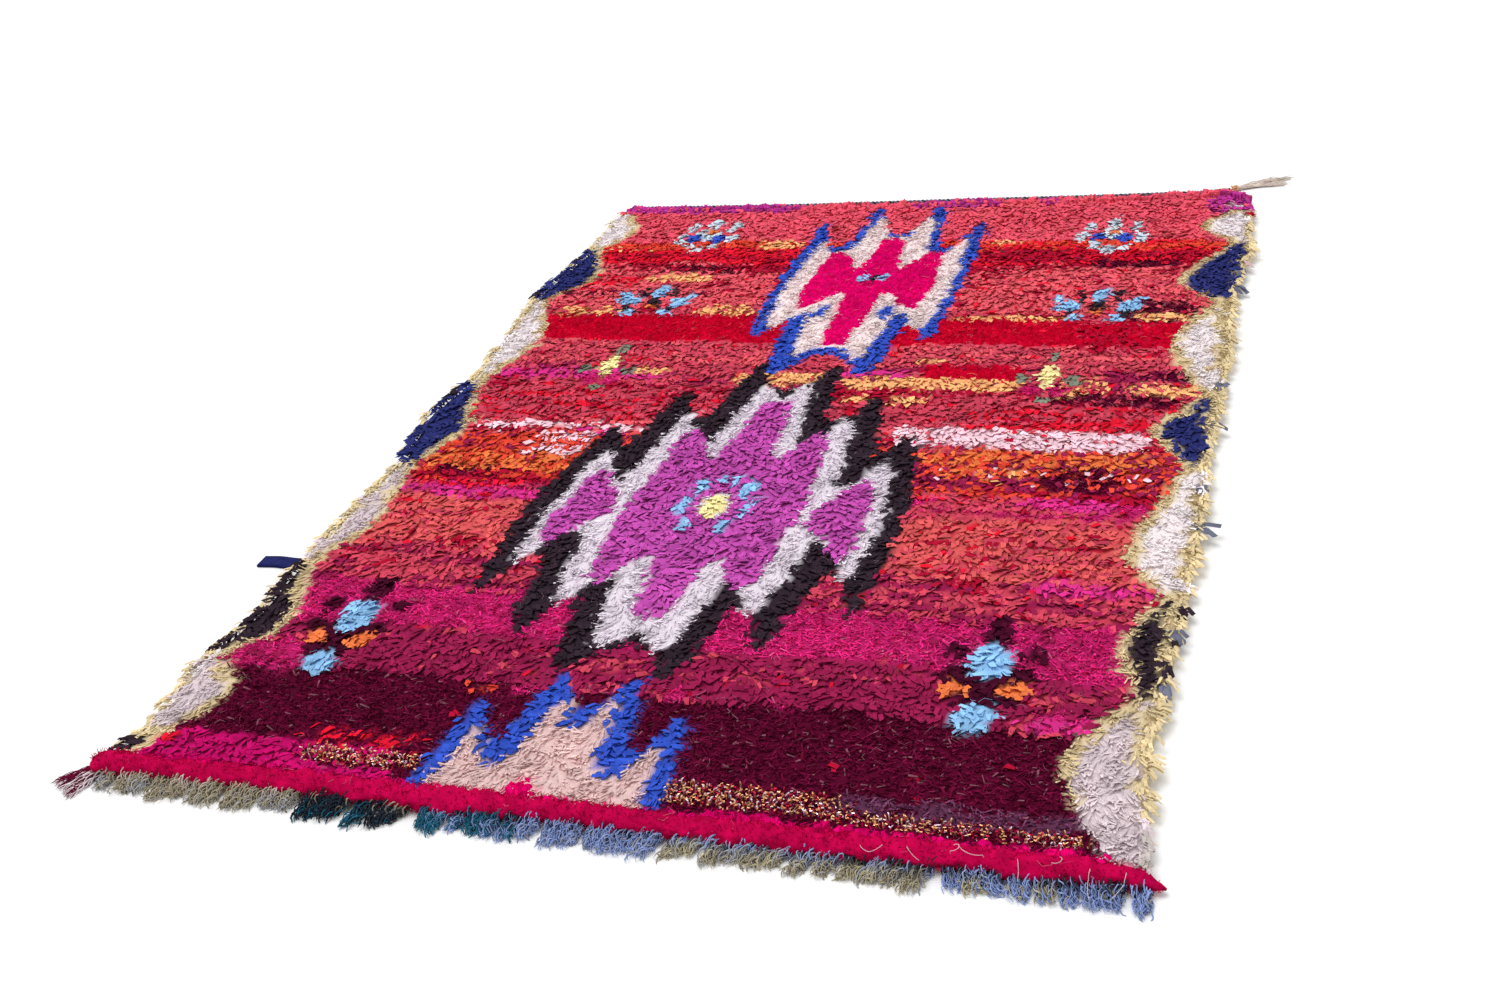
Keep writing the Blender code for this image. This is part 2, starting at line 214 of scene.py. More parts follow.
# Short streaks on it: left end, right end, near edge, far edge, yarn, and its share of the knots there
streaks = (
    (-0.74, -0.28, 1.022, 1.12, "purple", 0.8),
    (-0.02, 0.20, 1.045, 1.12, "purple", 0.7),
    (0.28, 0.33, 1.060, 1.12, "purple", 0.7),
    (0.66, 0.80, 0.990, 1.14, "purple", 0.9),
    (0.695, 0.740, 1.030, 1.070, "white", 0.8),
    (0.755, 0.800, 0.985, 1.010, "crimson", 1.0),
    (-0.32, -0.20, 0.790, 0.850, "peach", 0.6),
    (0.22, 0.28, 0.815, 0.845, "peach", 0.7),
    (-0.68, -0.56, 0.770, 0.800, "peach", 0.3),
    (-0.52, -0.36, 0.600, 0.640, "peach", 0.8),
    (-0.50, -0.30, 0.640, 0.685, "burgundy", 0.5),
    (0.44, 0.64, 0.690, 0.730, "burgundy", 0.8),
    (0.20, 0.44, 0.720, 0.790, "crimson", 0.7),
    (-0.70, -0.34, 0.510, 0.550, "burgundy", 0.4),
    (-0.68, -0.52, 0.580, 0.640, "brightRed", 0.5),
    (0.54, 0.68, 0.410, 0.520, "burgundy", 0.85),
    (-0.66, -0.48, 0.415, 0.460, "peach", 0.7),
    (-0.34, -0.20, 0.420, 0.470, "peach", 0.8),
    (0.20, 0.43, 0.412, 0.440, "peach", 0.9),
    (0.56, 0.68, 0.425, 0.460, "peach", 0.7),
    (0.46, 0.62, 0.290, 0.400, "crimson", 0.5),
    (0.18, 0.24, 0.215, 0.240, "peach", 0.7),
    (0.60, 0.70, 0.160, 0.200, "burgundy", 0.7),
    (-0.66, -0.30, 0.118, 0.162, "hotPink", 0.85),
    (-0.40, -0.30, 0.145, 0.175, "peach", 0.8),
    (-0.16, 0.05, 0.110, 0.165, "peach", 0.9),
    (0.05, 0.19, 0.155, 0.185, "hotPink", 0.8),
    (0.20, 0.40, 0.155, 0.205, "plushRed", 1.0),
    (0.06, 0.40, 0.105, 0.155, "peach", 0.9),
    (0.46, 0.56, 0.080, 0.170, "peach", 0.4),
    (0.58, 0.73, 0.105, 0.150, "peach", 0.8),
    (0.07, 0.24, 0.045, 0.075, "peach", 0.6),
    (0.44, 0.68, 0.055, 0.105, "burgundy", 0.8),
    (-0.60, -0.26, -0.092, -0.066, "palePink", 0.8),
    (0.20, 0.64, -0.108, -0.035, "palePink", 0.9),
    (-0.46, -0.32, -0.140, -0.100, "palePink", 0.6),
    (-0.48, -0.34, -0.195, -0.150, "palePink", 0.6),
    (0.22, 0.70, -0.245, -0.105, "raspberry", 0.25),
    (0.30, 0.66, -0.225, -0.170, "palePink", 0.12),
    (-0.64, -0.34, -0.255, -0.185, "orange", 0.60),
    (0.26, 0.66, -0.170, -0.115, "orange", 0.55),
    (0.30, 0.50, -0.215, -0.180, "orange", 0.4),
    (0.24, 0.46, -0.245, -0.215, "raspberry", 0.6),
    (0.40, 0.46, -0.240, -0.190, "peach", 0.4),
    (0.48, 0.61, -0.245, -0.165, "burgundy", 0.7),
    (-0.60, -0.44, -0.280, -0.245, "burgundy", 0.6),
    (0.26, 0.52, -0.290, -0.265, "dustyRose", 0.7),
    (0.46, 0.62, -0.300, -0.262, "hotPink", 0.8),
    (0.20, 0.32, -0.292, -0.274, "hotPink", 0.6),
    (0.20, 0.34, -0.140, -0.105, "dustyRose", 0.7),
    (0.50, 0.69, -0.545, -0.510, "hotPink", 0.6),
    (-0.66, -0.48, -0.885, -0.790, "magenta", 0.8),
    (0.05, 0.105, -0.880, -0.845, "magenta", 0.9),
    (0.20, 0.25, -0.875, -0.845, "magenta", 0.8),
    (0.56, 0.64, -0.870, -0.825, "magenta", 0.9),
    (-0.25, -0.17, -0.886, -0.870, "orangeRed", 0.3),
    (-0.18, -0.12, -0.888, -0.866, "magenta", 0.9),
    (0.54, 0.65, -0.864, -0.842, "hotPink", 0.7),
    (-0.68, -0.36, -0.350, -0.318, "hotPink", 0.75),
    (-0.66, -0.40, -0.316, -0.290, "brightRed", 0.5),
    (-0.40, -0.28, -0.100, -0.080, "hotPink", 0.6),
    (-0.46, -0.24, -1.030, -0.995, "brightRed", 0.35),
    (-0.70, -0.26, -1.105, -1.035, "fuchsia", 0.9),
    (-0.70, -0.62, -1.075, -1.035, "brightRed", 0.5),
    (-0.42, -0.20, -1.080, -1.045, "tinselGold", 0.55),
    (0.10, 0.38, -1.086, -1.042, "tinselGold", 0.85),
    (0.34, 0.67, -1.092, -1.068, "tinselGold", 0.75),
    (0.34, 0.66, -1.066, -1.030, "mauve", 0.8),
)

# Medallions: layers from the outside in, mirrored about the middle. Each row of a layer's far and near
# edge is a distance from the middle, and where the edge lies along the rug
medallions = {
    "far": {"middle": 0.0, "layers": (
        {"yarn": "royalBlue",
         "far": ((0.000, 0.885), (0.030, 0.900), (0.065, 1.050), (0.085, 1.040), (0.100, 0.850),
                 (0.120, 0.795), (0.140, 0.805), (0.180, 0.950), (0.194, 0.930), (0.200, 0.700)),
         "near": ((0.000, 0.250), (0.035, 0.230), (0.080, 0.160), (0.105, 0.170), (0.125, 0.400),
                  (0.140, 0.395), (0.168, 0.320), (0.188, 0.330), (0.200, 0.500))},
        {"yarn": "shell",
         "far": ((0.000, 0.860), (0.020, 0.870), (0.050, 0.990), (0.070, 0.975), (0.088, 0.790),
                 (0.115, 0.765), (0.130, 0.775), (0.158, 0.850), (0.172, 0.830), (0.180, 0.600)),
         "near": ((0.000, 0.280), (0.030, 0.265), (0.060, 0.225), (0.076, 0.240), (0.092, 0.440),
                  (0.110, 0.445), (0.138, 0.365), (0.156, 0.360), (0.168, 0.400), (0.180, 0.550))},
        {"yarn": "plushPink",
         "far": ((0.000, 0.850), (0.022, 0.840), (0.034, 0.700), (0.050, 0.665), (0.095, 0.755),
                 (0.122, 0.760), (0.134, 0.600)),
         "near": ((0.000, 0.285), (0.022, 0.300), (0.036, 0.530), (0.052, 0.560), (0.095, 0.480),
                  (0.120, 0.470), (0.134, 0.560))},
    )},
    "centre": {"middle": -0.040, "layers": (
        {"yarn": "black",
         "far": ((0.000, 0.095), (0.035, 0.105), (0.068, 0.200), (0.088, 0.190), (0.110, -0.015),
                 (0.145, -0.030), (0.176, 0.080), (0.198, 0.070), (0.232, -0.150), (0.272, -0.075),
                 (0.292, -0.085), (0.326, -0.330)),
         "near": ((0.000, -0.750), (0.045, -0.765), (0.078, -0.830), (0.098, -0.805), (0.125, -0.640),
                  (0.155, -0.645), (0.186, -0.740), (0.206, -0.725), (0.240, -0.515), (0.265, -0.530),
                  (0.300, -0.640), (0.318, -0.610), (0.326, -0.450))},
        {"yarn": "snow",
         "far": ((0.000, 0.050), (0.030, 0.110), (0.055, 0.095), (0.082, -0.130), (0.108, -0.110),
                 (0.142, -0.015), (0.166, -0.030), (0.192, -0.270), (0.225, -0.235), (0.248, -0.160),
                 (0.270, -0.185), (0.292, -0.370)),
         "near": ((0.000, -0.715), (0.040, -0.760), (0.064, -0.750), (0.090, -0.580), (0.118, -0.585),
                  (0.146, -0.660), (0.166, -0.645), (0.200, -0.435), (0.238, -0.465), (0.272, -0.555),
                  (0.286, -0.520), (0.292, -0.400))},
        {"yarn": "violet",
         "far": ((0.000, 0.040), (0.026, 0.030), (0.048, -0.180), (0.070, -0.175), (0.108, -0.080),
                 (0.136, -0.095), (0.152, -0.330)),
         "near": ((0.000, -0.675), (0.026, -0.660), (0.048, -0.500), (0.074, -0.520), (0.108, -0.590),
                  (0.136, -0.570), (0.152, -0.400))},
        {"yarn": "violet",
         "far": ((0.172, -0.345), (0.200, -0.290), (0.234, -0.235), (0.256, -0.260), (0.270, -0.400)),
         "near": ((0.172, -0.385), (0.200, -0.410), (0.246, -0.490), (0.270, -0.440))},
    )},
    "near": {"middle": -0.050, "layers": (
        {"yarn": "royalBlue",
         "far": ((0.000, -0.902), (0.024, -0.892), (0.046, -0.830), (0.068, -0.825), (0.092, -0.985),
                 (0.112, -0.990), (0.146, -0.910), (0.164, -0.925), (0.182, -1.110)),
         "near": ((0.000, -1.300), (0.182, -1.300))},
        {"yarn": "blush",
         "far": ((0.000, -0.955), (0.014, -0.940), (0.026, -0.885), (0.042, -0.885), (0.058, -1.010),
                 (0.082, -1.045), (0.100, -1.035), (0.126, -0.970), (0.144, -0.985), (0.156, -1.110)),
         "near": ((0.000, -1.300), (0.156, -1.300))},
    )},
}

# Small flowers: the middles, then dabs at a distance from each middle, mirrored about it.
# A dab's columns are its offset across and along, half width, half length and yarn
flowers = (
    ((-0.45, 0.475), 0.870, (
        (0.000, 0.070, 0.013, 0.034, "paleBlue"), (0.050, 0.052, 0.012, 0.030, "paleBlue"),
        (0.000, 0.010, 0.028, 0.036, "paleBlue"), (0.062, -0.015, 0.013, 0.030, "paleBlue"),
        (0.030, -0.062, 0.012, 0.022, "paleBlue"), (0.000, -0.082, 0.015, 0.020, "paleBlue"),
        (0.028, -0.012, 0.016, 0.022, "royalBlue"), (0.000, 0.022, 0.012, 0.020, "orange"))),
    ((-0.45, 0.490), 0.480, (
        (0.000, 0.070, 0.018, 0.034, "sky"), (0.060, 0.010, 0.024, 0.026, "sky"),
        (0.042, -0.045, 0.016, 0.020, "sky"), (0.034, 0.062, 0.010, 0.028, "black"),
        (0.078, 0.045, 0.012, 0.020, "sky"), (0.000, 0.006, 0.020, 0.030, "black"),
        (0.055, -0.020, 0.010, 0.012, "black"), (0.000, -0.012, 0.012, 0.016, "orange"))),
    ((-0.43, 0.440), 0.150, (
        (0.046, 0.012, 0.014, 0.018, "greyGreen"), (0.000, 0.105, 0.010, 0.020, "greyGreen"),
        (0.000, -0.068, 0.016, 0.014, "greyGreen"), (0.022, -0.034, 0.018, 0.026, "magenta"),
        (0.000, 0.024, 0.019, 0.048, "yellow"))),
    ((-0.505, 0.490), -0.785, (
        (0.000, 0.000, 0.060, 0.050, "wine"), (0.000, 0.130, 0.018, 0.045, "wine"),
        (0.056, 0.085, 0.018, 0.018, "wine"), (0.050, 0.030, 0.020, 0.014, "wine"),
        (0.000, 0.062, 0.030, 0.042, "sky"), (0.000, -0.066, 0.029, 0.032, "sky"),
        (0.040, -0.004, 0.021, 0.021, "orange"))),
    ((-0.040,), -0.340, (
        (0.042, 0.060, 0.011, 0.034, "sky"), (0.056, -0.005, 0.010, 0.032, "sky"),
        (0.034, -0.066, 0.011, 0.024, "sky"), (0.014, 0.088, 0.010, 0.020, "sky"),
        (0.000, 0.000, 0.028, 0.048, "snow"), (0.000, 0.000, 0.018, 0.042, "yellow"))),
    ((0.004,), 0.625, ((0.022, 0.004, 0.012, 0.024, "sky"), (0.000, 0.000, 0.010, 0.022, "black"))),
    ((0.000,), 0.450, ((0.070, 0.000, 0.014, 0.030, "royalBlue"),)),
)

# Toothed side borders: each tooth's near end, tip, far end, reach at its tip, yarn, and share of the
# cream edging that it has along the rug's side
borders = {
    "left": ((-1.12, -1.08, -1.045, 0.060, "black", 0.0), (-1.045, -0.95, -0.845, 0.100, "white", 1.1),
             (-0.845, -0.79, -0.58, 0.085, "black", 0.0), (-0.58, -0.45, -0.25, 0.080, "white", 1.1),
             (-0.25, -0.09, 0.10, 0.110, "navy", 0.0), (0.10, 0.30, 0.50, 0.092, "milk", 1.3),
             (0.50, 0.61, 0.79, 0.108, "navy", 0.0), (0.79, 0.90, 1.02, 0.088, "milk", 0.8)),
    "right": ((-1.12, -0.93, -0.78, 0.112, "white", 1.1), (-0.78, -0.66, -0.53, 0.085, "black", 0.9),
              (-0.53, -0.42, -0.15, 0.108, "milk", 0.9), (-0.15, -0.03, 0.11, 0.105, "navy", 0.8),
              (0.11, 0.32, 0.53, 0.112, "milk", 1.4), (0.53, 0.62, 0.83, 0.120, "navy", 0.8),
              (0.83, 0.92, 1.02, 0.108, "milk", 0.6)),
}
borderShape = {"neck": 0.042, "fullness": 1.2, "steps": 0.026, "bareRight": (-1.02, -0.97),
               "rim": {"left": 0.011, "right": 0.019}, "rimUneven": 1.1, "rimWave": 0.024,
               "edging": 0.020, "edgingUneven": 0.5, "edgingWave": 0.04, "endShare": 0.35}

# How the knots stray from the pattern: how far it wanders, the size of the waves, and each knot's scatter.
# Bands sway slowly but for the near ones, blotches mix their two yarns, and patches redden plain ones
straying = {"across": 0.004, "acrossWave": 0.018, "acrossScatter": 0.0011,
            "along": 0.007, "alongWave": 0.022, "alongScatter": 0.0016,
            "sway": 0.012, "swayWave": 0.17, "steadyBelow": -0.95, "streakEnd": 0.03,
            "blotch": 0.42, "blotchWave": 0.011, "blotchFlat": 0.11, "blotchScatter": 0.20,
            "patchWave": 0.015, "patchFlat": 0.4, "patchScatter": 0.30,
            "patchBelow": 0.84, "crimsonOver": 0.66, "brightUnder": -0.84}

# Pink fleece at the near end, and the spike of it that runs up into the near medallion
nearFleece = {"edge": -1.102, "uneven": 0.005, "wave": 0.03, "spikeX": -0.07, "spikeHalf": 0.022,
              "spikeTip": -1.058, "spikeLength": 0.04}


def paintLayer(yarn, x, y, middle, layer):
    across = np.abs(x - middle)
    farAcross, farEdge = np.transpose(layer["far"])
    nearAcross, nearEdge = np.transpose(layer["near"])
    inside = (y < np.interp(across, farAcross, farEdge)) & (y > np.interp(across, nearAcross, nearEdge))
    yarn[inside & (across >= farAcross[0]) & (across <= farAcross[-1])] = yarnNumber[layer["yarn"]]


def paintDab(yarn, x, y, middle, height, dab):
    across, along, halfWidth, halfLength, name = dab
    u = (np.abs(x - middle) - across) / halfWidth
    v = (y - height - along) / halfLength
    yarn[(u * u + v * v) < 1] = yarnNumber[name]


def paintBorder(yarn, x, y, side):
    inward = (x - sideX(y, "left")) if side == "left" else (sideX(y, "right") - x)
    shape = borderShape
    rimWidth = shape["rim"][side] * (1 + shape["rimUneven"] * softNoise(x, y, shape["rimWave"], 12))
    edging = shape["edging"] * (1 + shape["edgingUneven"] * softNoise(x, y, shape["edgingWave"], 13))
    if side == "right":
        fade = np.interp(y, shape["bareRight"], (0.0, 1.0))
        rimWidth, edging = rimWidth * fade, edging * fade
    stepped = (np.floor(y / shape["steps"]) + 0.5) * shape["steps"]
    for near, tip, far, reach, name, outer in borders[side]:
        here = (y >= near) & (y < far)
        swell = np.interp(0.5 * (y + stepped), (near, tip, far), (0.0, 1.0, 0.0))
        depth = shape["neck"] + (reach - shape["neck"]) * np.clip(shape["fullness"] * swell, 0, 1)
        ends = np.minimum(y - near, far - y) < shape["endShare"] * edging
        band = (inward < rimWidth * outer) | (inward > depth - edging) | ends
        yarn[here & (inward < depth)] = yarnNumber[name]
        yarn[here & (inward < depth) & band] = yarnNumber["cream"]


def bandYarn(x, y, frayY, rng):
    slowY = frayY + straying["sway"] * softNoise(x, y, straying["swayWave"], 7)
    bandEnds, firsts, seconds, shares = zip(*bands)
    number = np.searchsorted(bandEnds, np.where(y < straying["steadyBelow"], frayY, slowY))
    number = number.clip(0, len(bands) - 1)
    first, second = (np.array([yarnNumber[name] for name in names])[number] for names in (firsts, seconds))
    blotch = 0.5 + straying["blotch"] * softNoise(x * straying["blotchFlat"], y, straying["blotchWave"], 8)
    blotch = blotch + straying["blotchScatter"] * rng.uniform(-1, 1, x.shape)
    return np.where(blotch < np.array(shares)[number], second, first)


def paintStreaks(yarn, x, y, frayY, rng):
    for left, right, low, high, name, share in streaks:
        inside = np.minimum(x - left, right - x) / straying["streakEnd"]
        middle, half = (low + high) / 2, (high - low) / 2
        room = half * np.clip(inside, 0, 1) ** 0.4
        place = y if name == "tinselGold" else frayY
        taken = rng.uniform(0, 1, x.shape) < share
        yarn[(inside > 0) & (np.abs(place - middle) < room) & taken] = yarnNumber[name]


def paintPatches(yarn, x, y, rng):
    patch = softNoise(straying["patchFlat"] * x, y, straying["patchWave"], 33)
    patch = patch + straying["patchScatter"] * rng.uniform(-1, 1, x.shape)
    plain = isOneOf(yarn, ("salmon", "coral", "dustyRose")) & (y < straying["patchBelow"])
    yarn[plain & (patch > straying["crimsonOver"])] = yarnNumber["crimson"]
    yarn[plain & (patch < straying["brightUnder"])] = yarnNumber["brightRed"]


# The yarn at each place on the rug, worked out from the tables above
def yarnAt(x, y, rng):
    frayX = x + straying["across"] * softNoise(x, y, straying["acrossWave"], 5)
    frayX = frayX + rng.normal(0, straying["acrossScatter"], x.shape)
    frayY = y + straying["along"] * softNoise(x, y, straying["alongWave"], 6)
    frayY = frayY + rng.normal(0, straying["alongScatter"], x.shape)
    yarn = bandYarn(x, y, frayY, rng)
    paintStreaks(yarn, frayX, y, frayY, rng)
    paintPatches(yarn, x, y, rng)
    for medallion in medallions.values():
        for layer in medallion["layers"]:
            paintLayer(yarn, frayX, frayY, medallion["middle"], layer)
    for middles, height, dabs in flowers:
        for middle in middles:
            for dab in dabs:
                paintDab(yarn, frayX, frayY, middle, height, dab)
    for side in borders:
        paintBorder(yarn, frayX, frayY, side)
    spike = nearFleece["spikeHalf"] * np.clip((nearFleece["spikeTip"] - y) / nearFleece["spikeLength"], 0, 1)
    edge = nearFleece["edge"] + nearFleece["uneven"] * softNoise(x, y, nearFleece["wave"], 9)
    yarn[(y < edge) | (np.abs(x - nearFleece["spikeX"]) < spike)] = yarnNumber["plushPink"]
    return yarn


# Yarns by the way they are knotted
fleeceYarns = ("plushRed", "plushPink")
fineYarns = ("burgundy", "magenta", "mauve")
shagYarns = ("white", "milk", "cream", "snow", "shell", "blush", "greyBeige")


# Joined meshes from arrays: every strand or tuft is a closed swept shape of its own
def unit(vectors):
    return vectors / np.maximum(np.linalg.norm(vectors, axis=-1, keepdims=True), 1e-9)


# Level directions at angles from +X, and the level directions square to them
def levelDirections(turn):
    flat = 0 * turn
    return np.stack([np.cos(turn), np.sin(turn), flat], 1), np.stack([-np.sin(turn), np.cos(turn), flat], 1)


# Roots at x, y and height z, each ready to have the points of its own path added
def rootPoints(x, y, z=0.0):
    return np.stack([x, y, z + 0 * x], 1)[:, None]


# Faces of a sheet of high by wide points: its upper skin, its lower one and the hem round its edge
def sheetFaces(high, wide):
    size = high * wide
    corner = (np.arange(high - 1)[:, None] * wide + np.arange(wide - 1)).ravel()
    skin = np.stack([corner, corner + 1, corner + wide + 1, corner + wide], 1)
    edge = np.concatenate([np.arange(wide - 1), np.arange(1, high) * wide - 1,
                           size - 1 - np.arange(wide - 1), np.arange(high - 1, 0, -1) * wide])
    after = np.roll(edge, -1)
    hem = np.stack([after, edge, edge + size, after + size], 1)
    return [skin, skin[:, ::-1] + size, hem]


def sweepMany(paths, halfWide, halfThick, across, sides, skew=0.0, flatSideUp=False):
    count, steps = paths.shape[:2]
    ahead = unit(np.gradient(paths, axis=1))
    upward = unit(np.cross(ahead, across))
    sideways = np.cross(upward, ahead) + ahead * skew
    angle = (-math.pi / 2 if flatSideUp else math.pi / 2) + np.arange(sides) * math.tau / sides
    rings = (paths[:, :, None]
             + sideways[:, :, None] * (halfWide[..., None] * np.cos(angle))[..., None]
             + upward[:, :, None] * (halfThick[..., None] * np.sin(angle))[..., None])
    base = (np.arange(count) * steps * sides)[:, None, None]
    ring = (np.arange(steps - 1) * sides)[None, :, None]
    here, after = np.arange(sides), (np.arange(sides) + 1) % sides
    walls = np.stack([base + ring + here, base + ring + after,
                      base + ring + sides + after, base + ring + sides + here], axis=-1).reshape(-1, 4)
    roots = base[:, 0] + here[::-1]
    tips = base[:, 0] + (steps - 1) * sides + here
    return rings.reshape(-1, 3), [walls, roots, tips]


def addMesh(name, points, faceSets, colours, smooth=True, crispAngle=None):
    mesh = bpy.data.meshes.new(name)
    mesh.vertices.add(len(points))
    mesh.vertices.foreach_set("co", np.asarray(points, np.float32).ravel())
    loops = np.concatenate([faces.ravel() for faces in faceSets]).astype(np.int32)
    sizes = np.concatenate([np.full(len(faces), faces.shape[1]) for faces in faceSets])
    starts = np.concatenate([[0], np.cumsum(sizes)[:-1]]).astype(np.int32)
    mesh.loops.add(len(loops))
    mesh.loops.foreach_set("vertex_index", loops)
    mesh.polygons.add(len(sizes))
    mesh.polygons.foreach_set("loop_start", starts)
    mesh.polygons.foreach_set("use_smooth", np.full(len(sizes), smooth))
    mesh.update(calc_edges=True)
    if crispAngle is not None:
        mesh.set_sharp_from_angle(angle=math.radians(crispAngle))
    layer = mesh.color_attributes.new("yarnColour", "FLOAT_COLOR", "POINT")
    full = np.concatenate([colours, np.ones((len(colours), 1))], axis=1)
    layer.data.foreach_set("color", full.astype(np.float32).ravel())
    piece = bpy.data.objects.new(name, mesh)
    bpy.context.scene.collection.objects.link(piece)
    return piece


def finishPiece(piece, material, slotName, *nodes):
    piece.data.materials.append(material)
    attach(piece, "root")
    if nodes:
        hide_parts(*nodes)


# Shared shader group: fibres that darken and lighten the yarn, and raise its surface
def buildFibreGroup():
    group = bpy.data.node_groups.new("fibreSurface", "ShaderNodeTree")
    sockets = group.interface
    sockets.new_socket("Yarn", in_out="INPUT", socket_type="NodeSocketColor")
    for name, value in (("Scale", 400.0), ("Contrast", 0.3), ("Stretch", 4.0)):
        sockets.new_socket(name, in_out="INPUT", socket_type="NodeSocketFloat").default_value = value
    sockets.new_socket("Colour", in_out="OUTPUT", socket_type="NodeSocketColor")
    sockets.new_socket("Height", in_out="OUTPUT", socket_type="NodeSocketFloat")
    nodes, links = group.nodes, group.links
    given = nodes.new("NodeGroupInput")
    result = nodes.new("NodeGroupOutput")
    place = nodes.new("ShaderNodeTexCoord")
    pull = nodes.new("ShaderNodeCombineXYZ")
    pull.inputs["Y"].default_value = 1.0
    links.new(given.outputs["Stretch"], pull.inputs["X"])
    links.new(given.outputs["Stretch"], pull.inputs["Z"])
    stretched = nodes.new("ShaderNodeVectorMath")
    stretched.operation = "MULTIPLY"
    links.new(place.outputs["Object"], stretched.inputs[0])
    links.new(pull.outputs[0], stretched.inputs[1])
    fibre = nodes.new("ShaderNodeTexNoise")
    fibre.inputs["Detail"].default_value = 3.0
    links.new(stretched.outputs[0], fibre.inputs["Vector"])
    links.new(given.outputs["Scale"], fibre.inputs["Scale"])
    centred = nodes.new("ShaderNodeMath")
    centred.operation = "SUBTRACT"
    centred.inputs[1].default_value = 0.5
    links.new(fibre.outputs["Fac"], centred.inputs[0])
    gain = nodes.new("ShaderNodeMath")
    gain.operation = "MULTIPLY_ADD"
    gain.inputs[2].default_value = 1.0
    links.new(centred.outputs[0], gain.inputs[0])
    links.new(given.outputs["Contrast"], gain.inputs[1])
    shade = nodes.new("ShaderNodeVectorMath")
    shade.operation = "SCALE"
    links.new(given.outputs["Yarn"], shade.inputs[0])
    links.new(gain.outputs[0], shade.inputs["Scale"])
    links.new(shade.outputs[0], result.inputs["Colour"])
    links.new(fibre.outputs["Fac"], result.inputs["Height"])
    return group


fibreGroup = buildFibreGroup()

# Each cloth's fibres are their scale, contrast and stretch
finishes = {
    "ragCloth": {"fibres": (230.0, 0.7, 2.6), "rough": 0.95, "sheen": 0.0, "bump": 0.6},
    "fleecePlush": {"fibres": (300.0, 0.8, 1.0), "rough": 1.0, "sheen": 0.0, "bump": 1.0},
    "crinkledYarn": {"fibres": (700.0, 0.9, 1.5), "rough": 0.95, "sheen": 0.05, "bump": 0.5},
    "wovenGround": {"fibres": (260.0, 1.0, 2.2), "rough": 0.95, "sheen": 0.0, "bump": 0.9},
    "tinselThread": {"fibres": (900.0, 1.4, 1.0), "rough": 0.30, "sheen": 0.0, "bump": 0.4},
}


def clothMaterial(name, metallic=0.0):
    look = finishes[name]
    material = bpy.data.materials.new(name)
    material.use_nodes = True
    nodes, links = material.node_tree.nodes, material.node_tree.links
    shader = nodes["Principled BSDF"]
    shader.inputs["Roughness"].default_value = look["rough"]
    shader.inputs["Metallic"].default_value = metallic
    shader.inputs["Sheen Weight"].default_value = look["sheen"]
    shader.inputs["Specular IOR Level"].default_value = 0.5 if metallic else 0.02
    colour = nodes.new("ShaderNodeVertexColor")
    colour.layer_name = "yarnColour"
    fibres = nodes.new("ShaderNodeGroup")
    fibres.node_tree = fibreGroup
    for socket, value in zip(("Scale", "Contrast", "Stretch"), look["fibres"]):
        fibres.inputs[socket].default_value = value
    links.new(colour.outputs["Color"], fibres.inputs["Yarn"])
    links.new(fibres.outputs["Colour"], shader.inputs["Base Color"])
    bump = nodes.new("ShaderNodeBump")
    bump.inputs["Strength"].default_value = look["bump"]
    bump.inputs["Distance"].default_value = 0.001
    links.new(fibres.outputs["Height"], bump.inputs["Height"])
    links.new(bump.outputs["Normal"], shader.inputs["Normal"])
    return material


ragCloth = clothMaterial("ragCloth")
fleecePlush = clothMaterial("fleecePlush")
crinkledYarn = clothMaterial("crinkledYarn")
wovenGround = clothMaterial("wovenGround")
tinselThread = clothMaterial("tinselThread", metallic=0.75)
print("materials built")


# Ground: the dense foot of the pile, and the flat weave beyond it, as one sheet
ground = {"columns": 84, "rows": 124, "weaveRows": 6, "foot": 0.0192, "uneven": 0.0009, "rimFoot": 0.006,
          "inset": 0.005, "under": 0.0002, "weave": 0.0028, "weaveRib": 0.0003, "ribPitch": 0.0021,
          "weaveStart": 0.002, "shadeUnderFine": 0.6, "shadeUnderRag": 0.9, "dimWeave": 0.7}


def lump(x, y):
    across = np.sin(x / 0.043 + 1.7 * np.sin(y / 0.19))
    along = np.sin(y / 0.037 - 1.3 * np.sin(x / 0.23))
    return 0.0016 * (across + along) / 2


def groundGrid():
    shareX = np.linspace(0, 1, ground["columns"] + 1)[None, :]
    shareY = np.linspace(0, 1, ground["rows"] + 1)[:, None]
    roughX = outline["left"][-1] + (outline["right"][-1] - outline["left"][-1]) * shareX
    y = outline["nearY"] + (farY(roughX, "pileY") - outline["nearY"]) * shareY
    left, right = sideX(y, "left") + ground["inset"], sideX(y, "right") - ground["inset"]
    x = left + (right - left) * shareX
    beyond = np.linspace(0, 1, ground["weaveRows"] + 1)[1:, None]
    edgeX, edgeY = x[-1:], y[-1:]
    weaveStart = edgeY + ground["weaveStart"]
    weaveY = weaveStart + (farY(edgeX, "weaveY") - weaveStart) * beyond
    return np.vstack([x, np.repeat(edgeX, len(beyond), 0)]), np.vstack([y, weaveY])


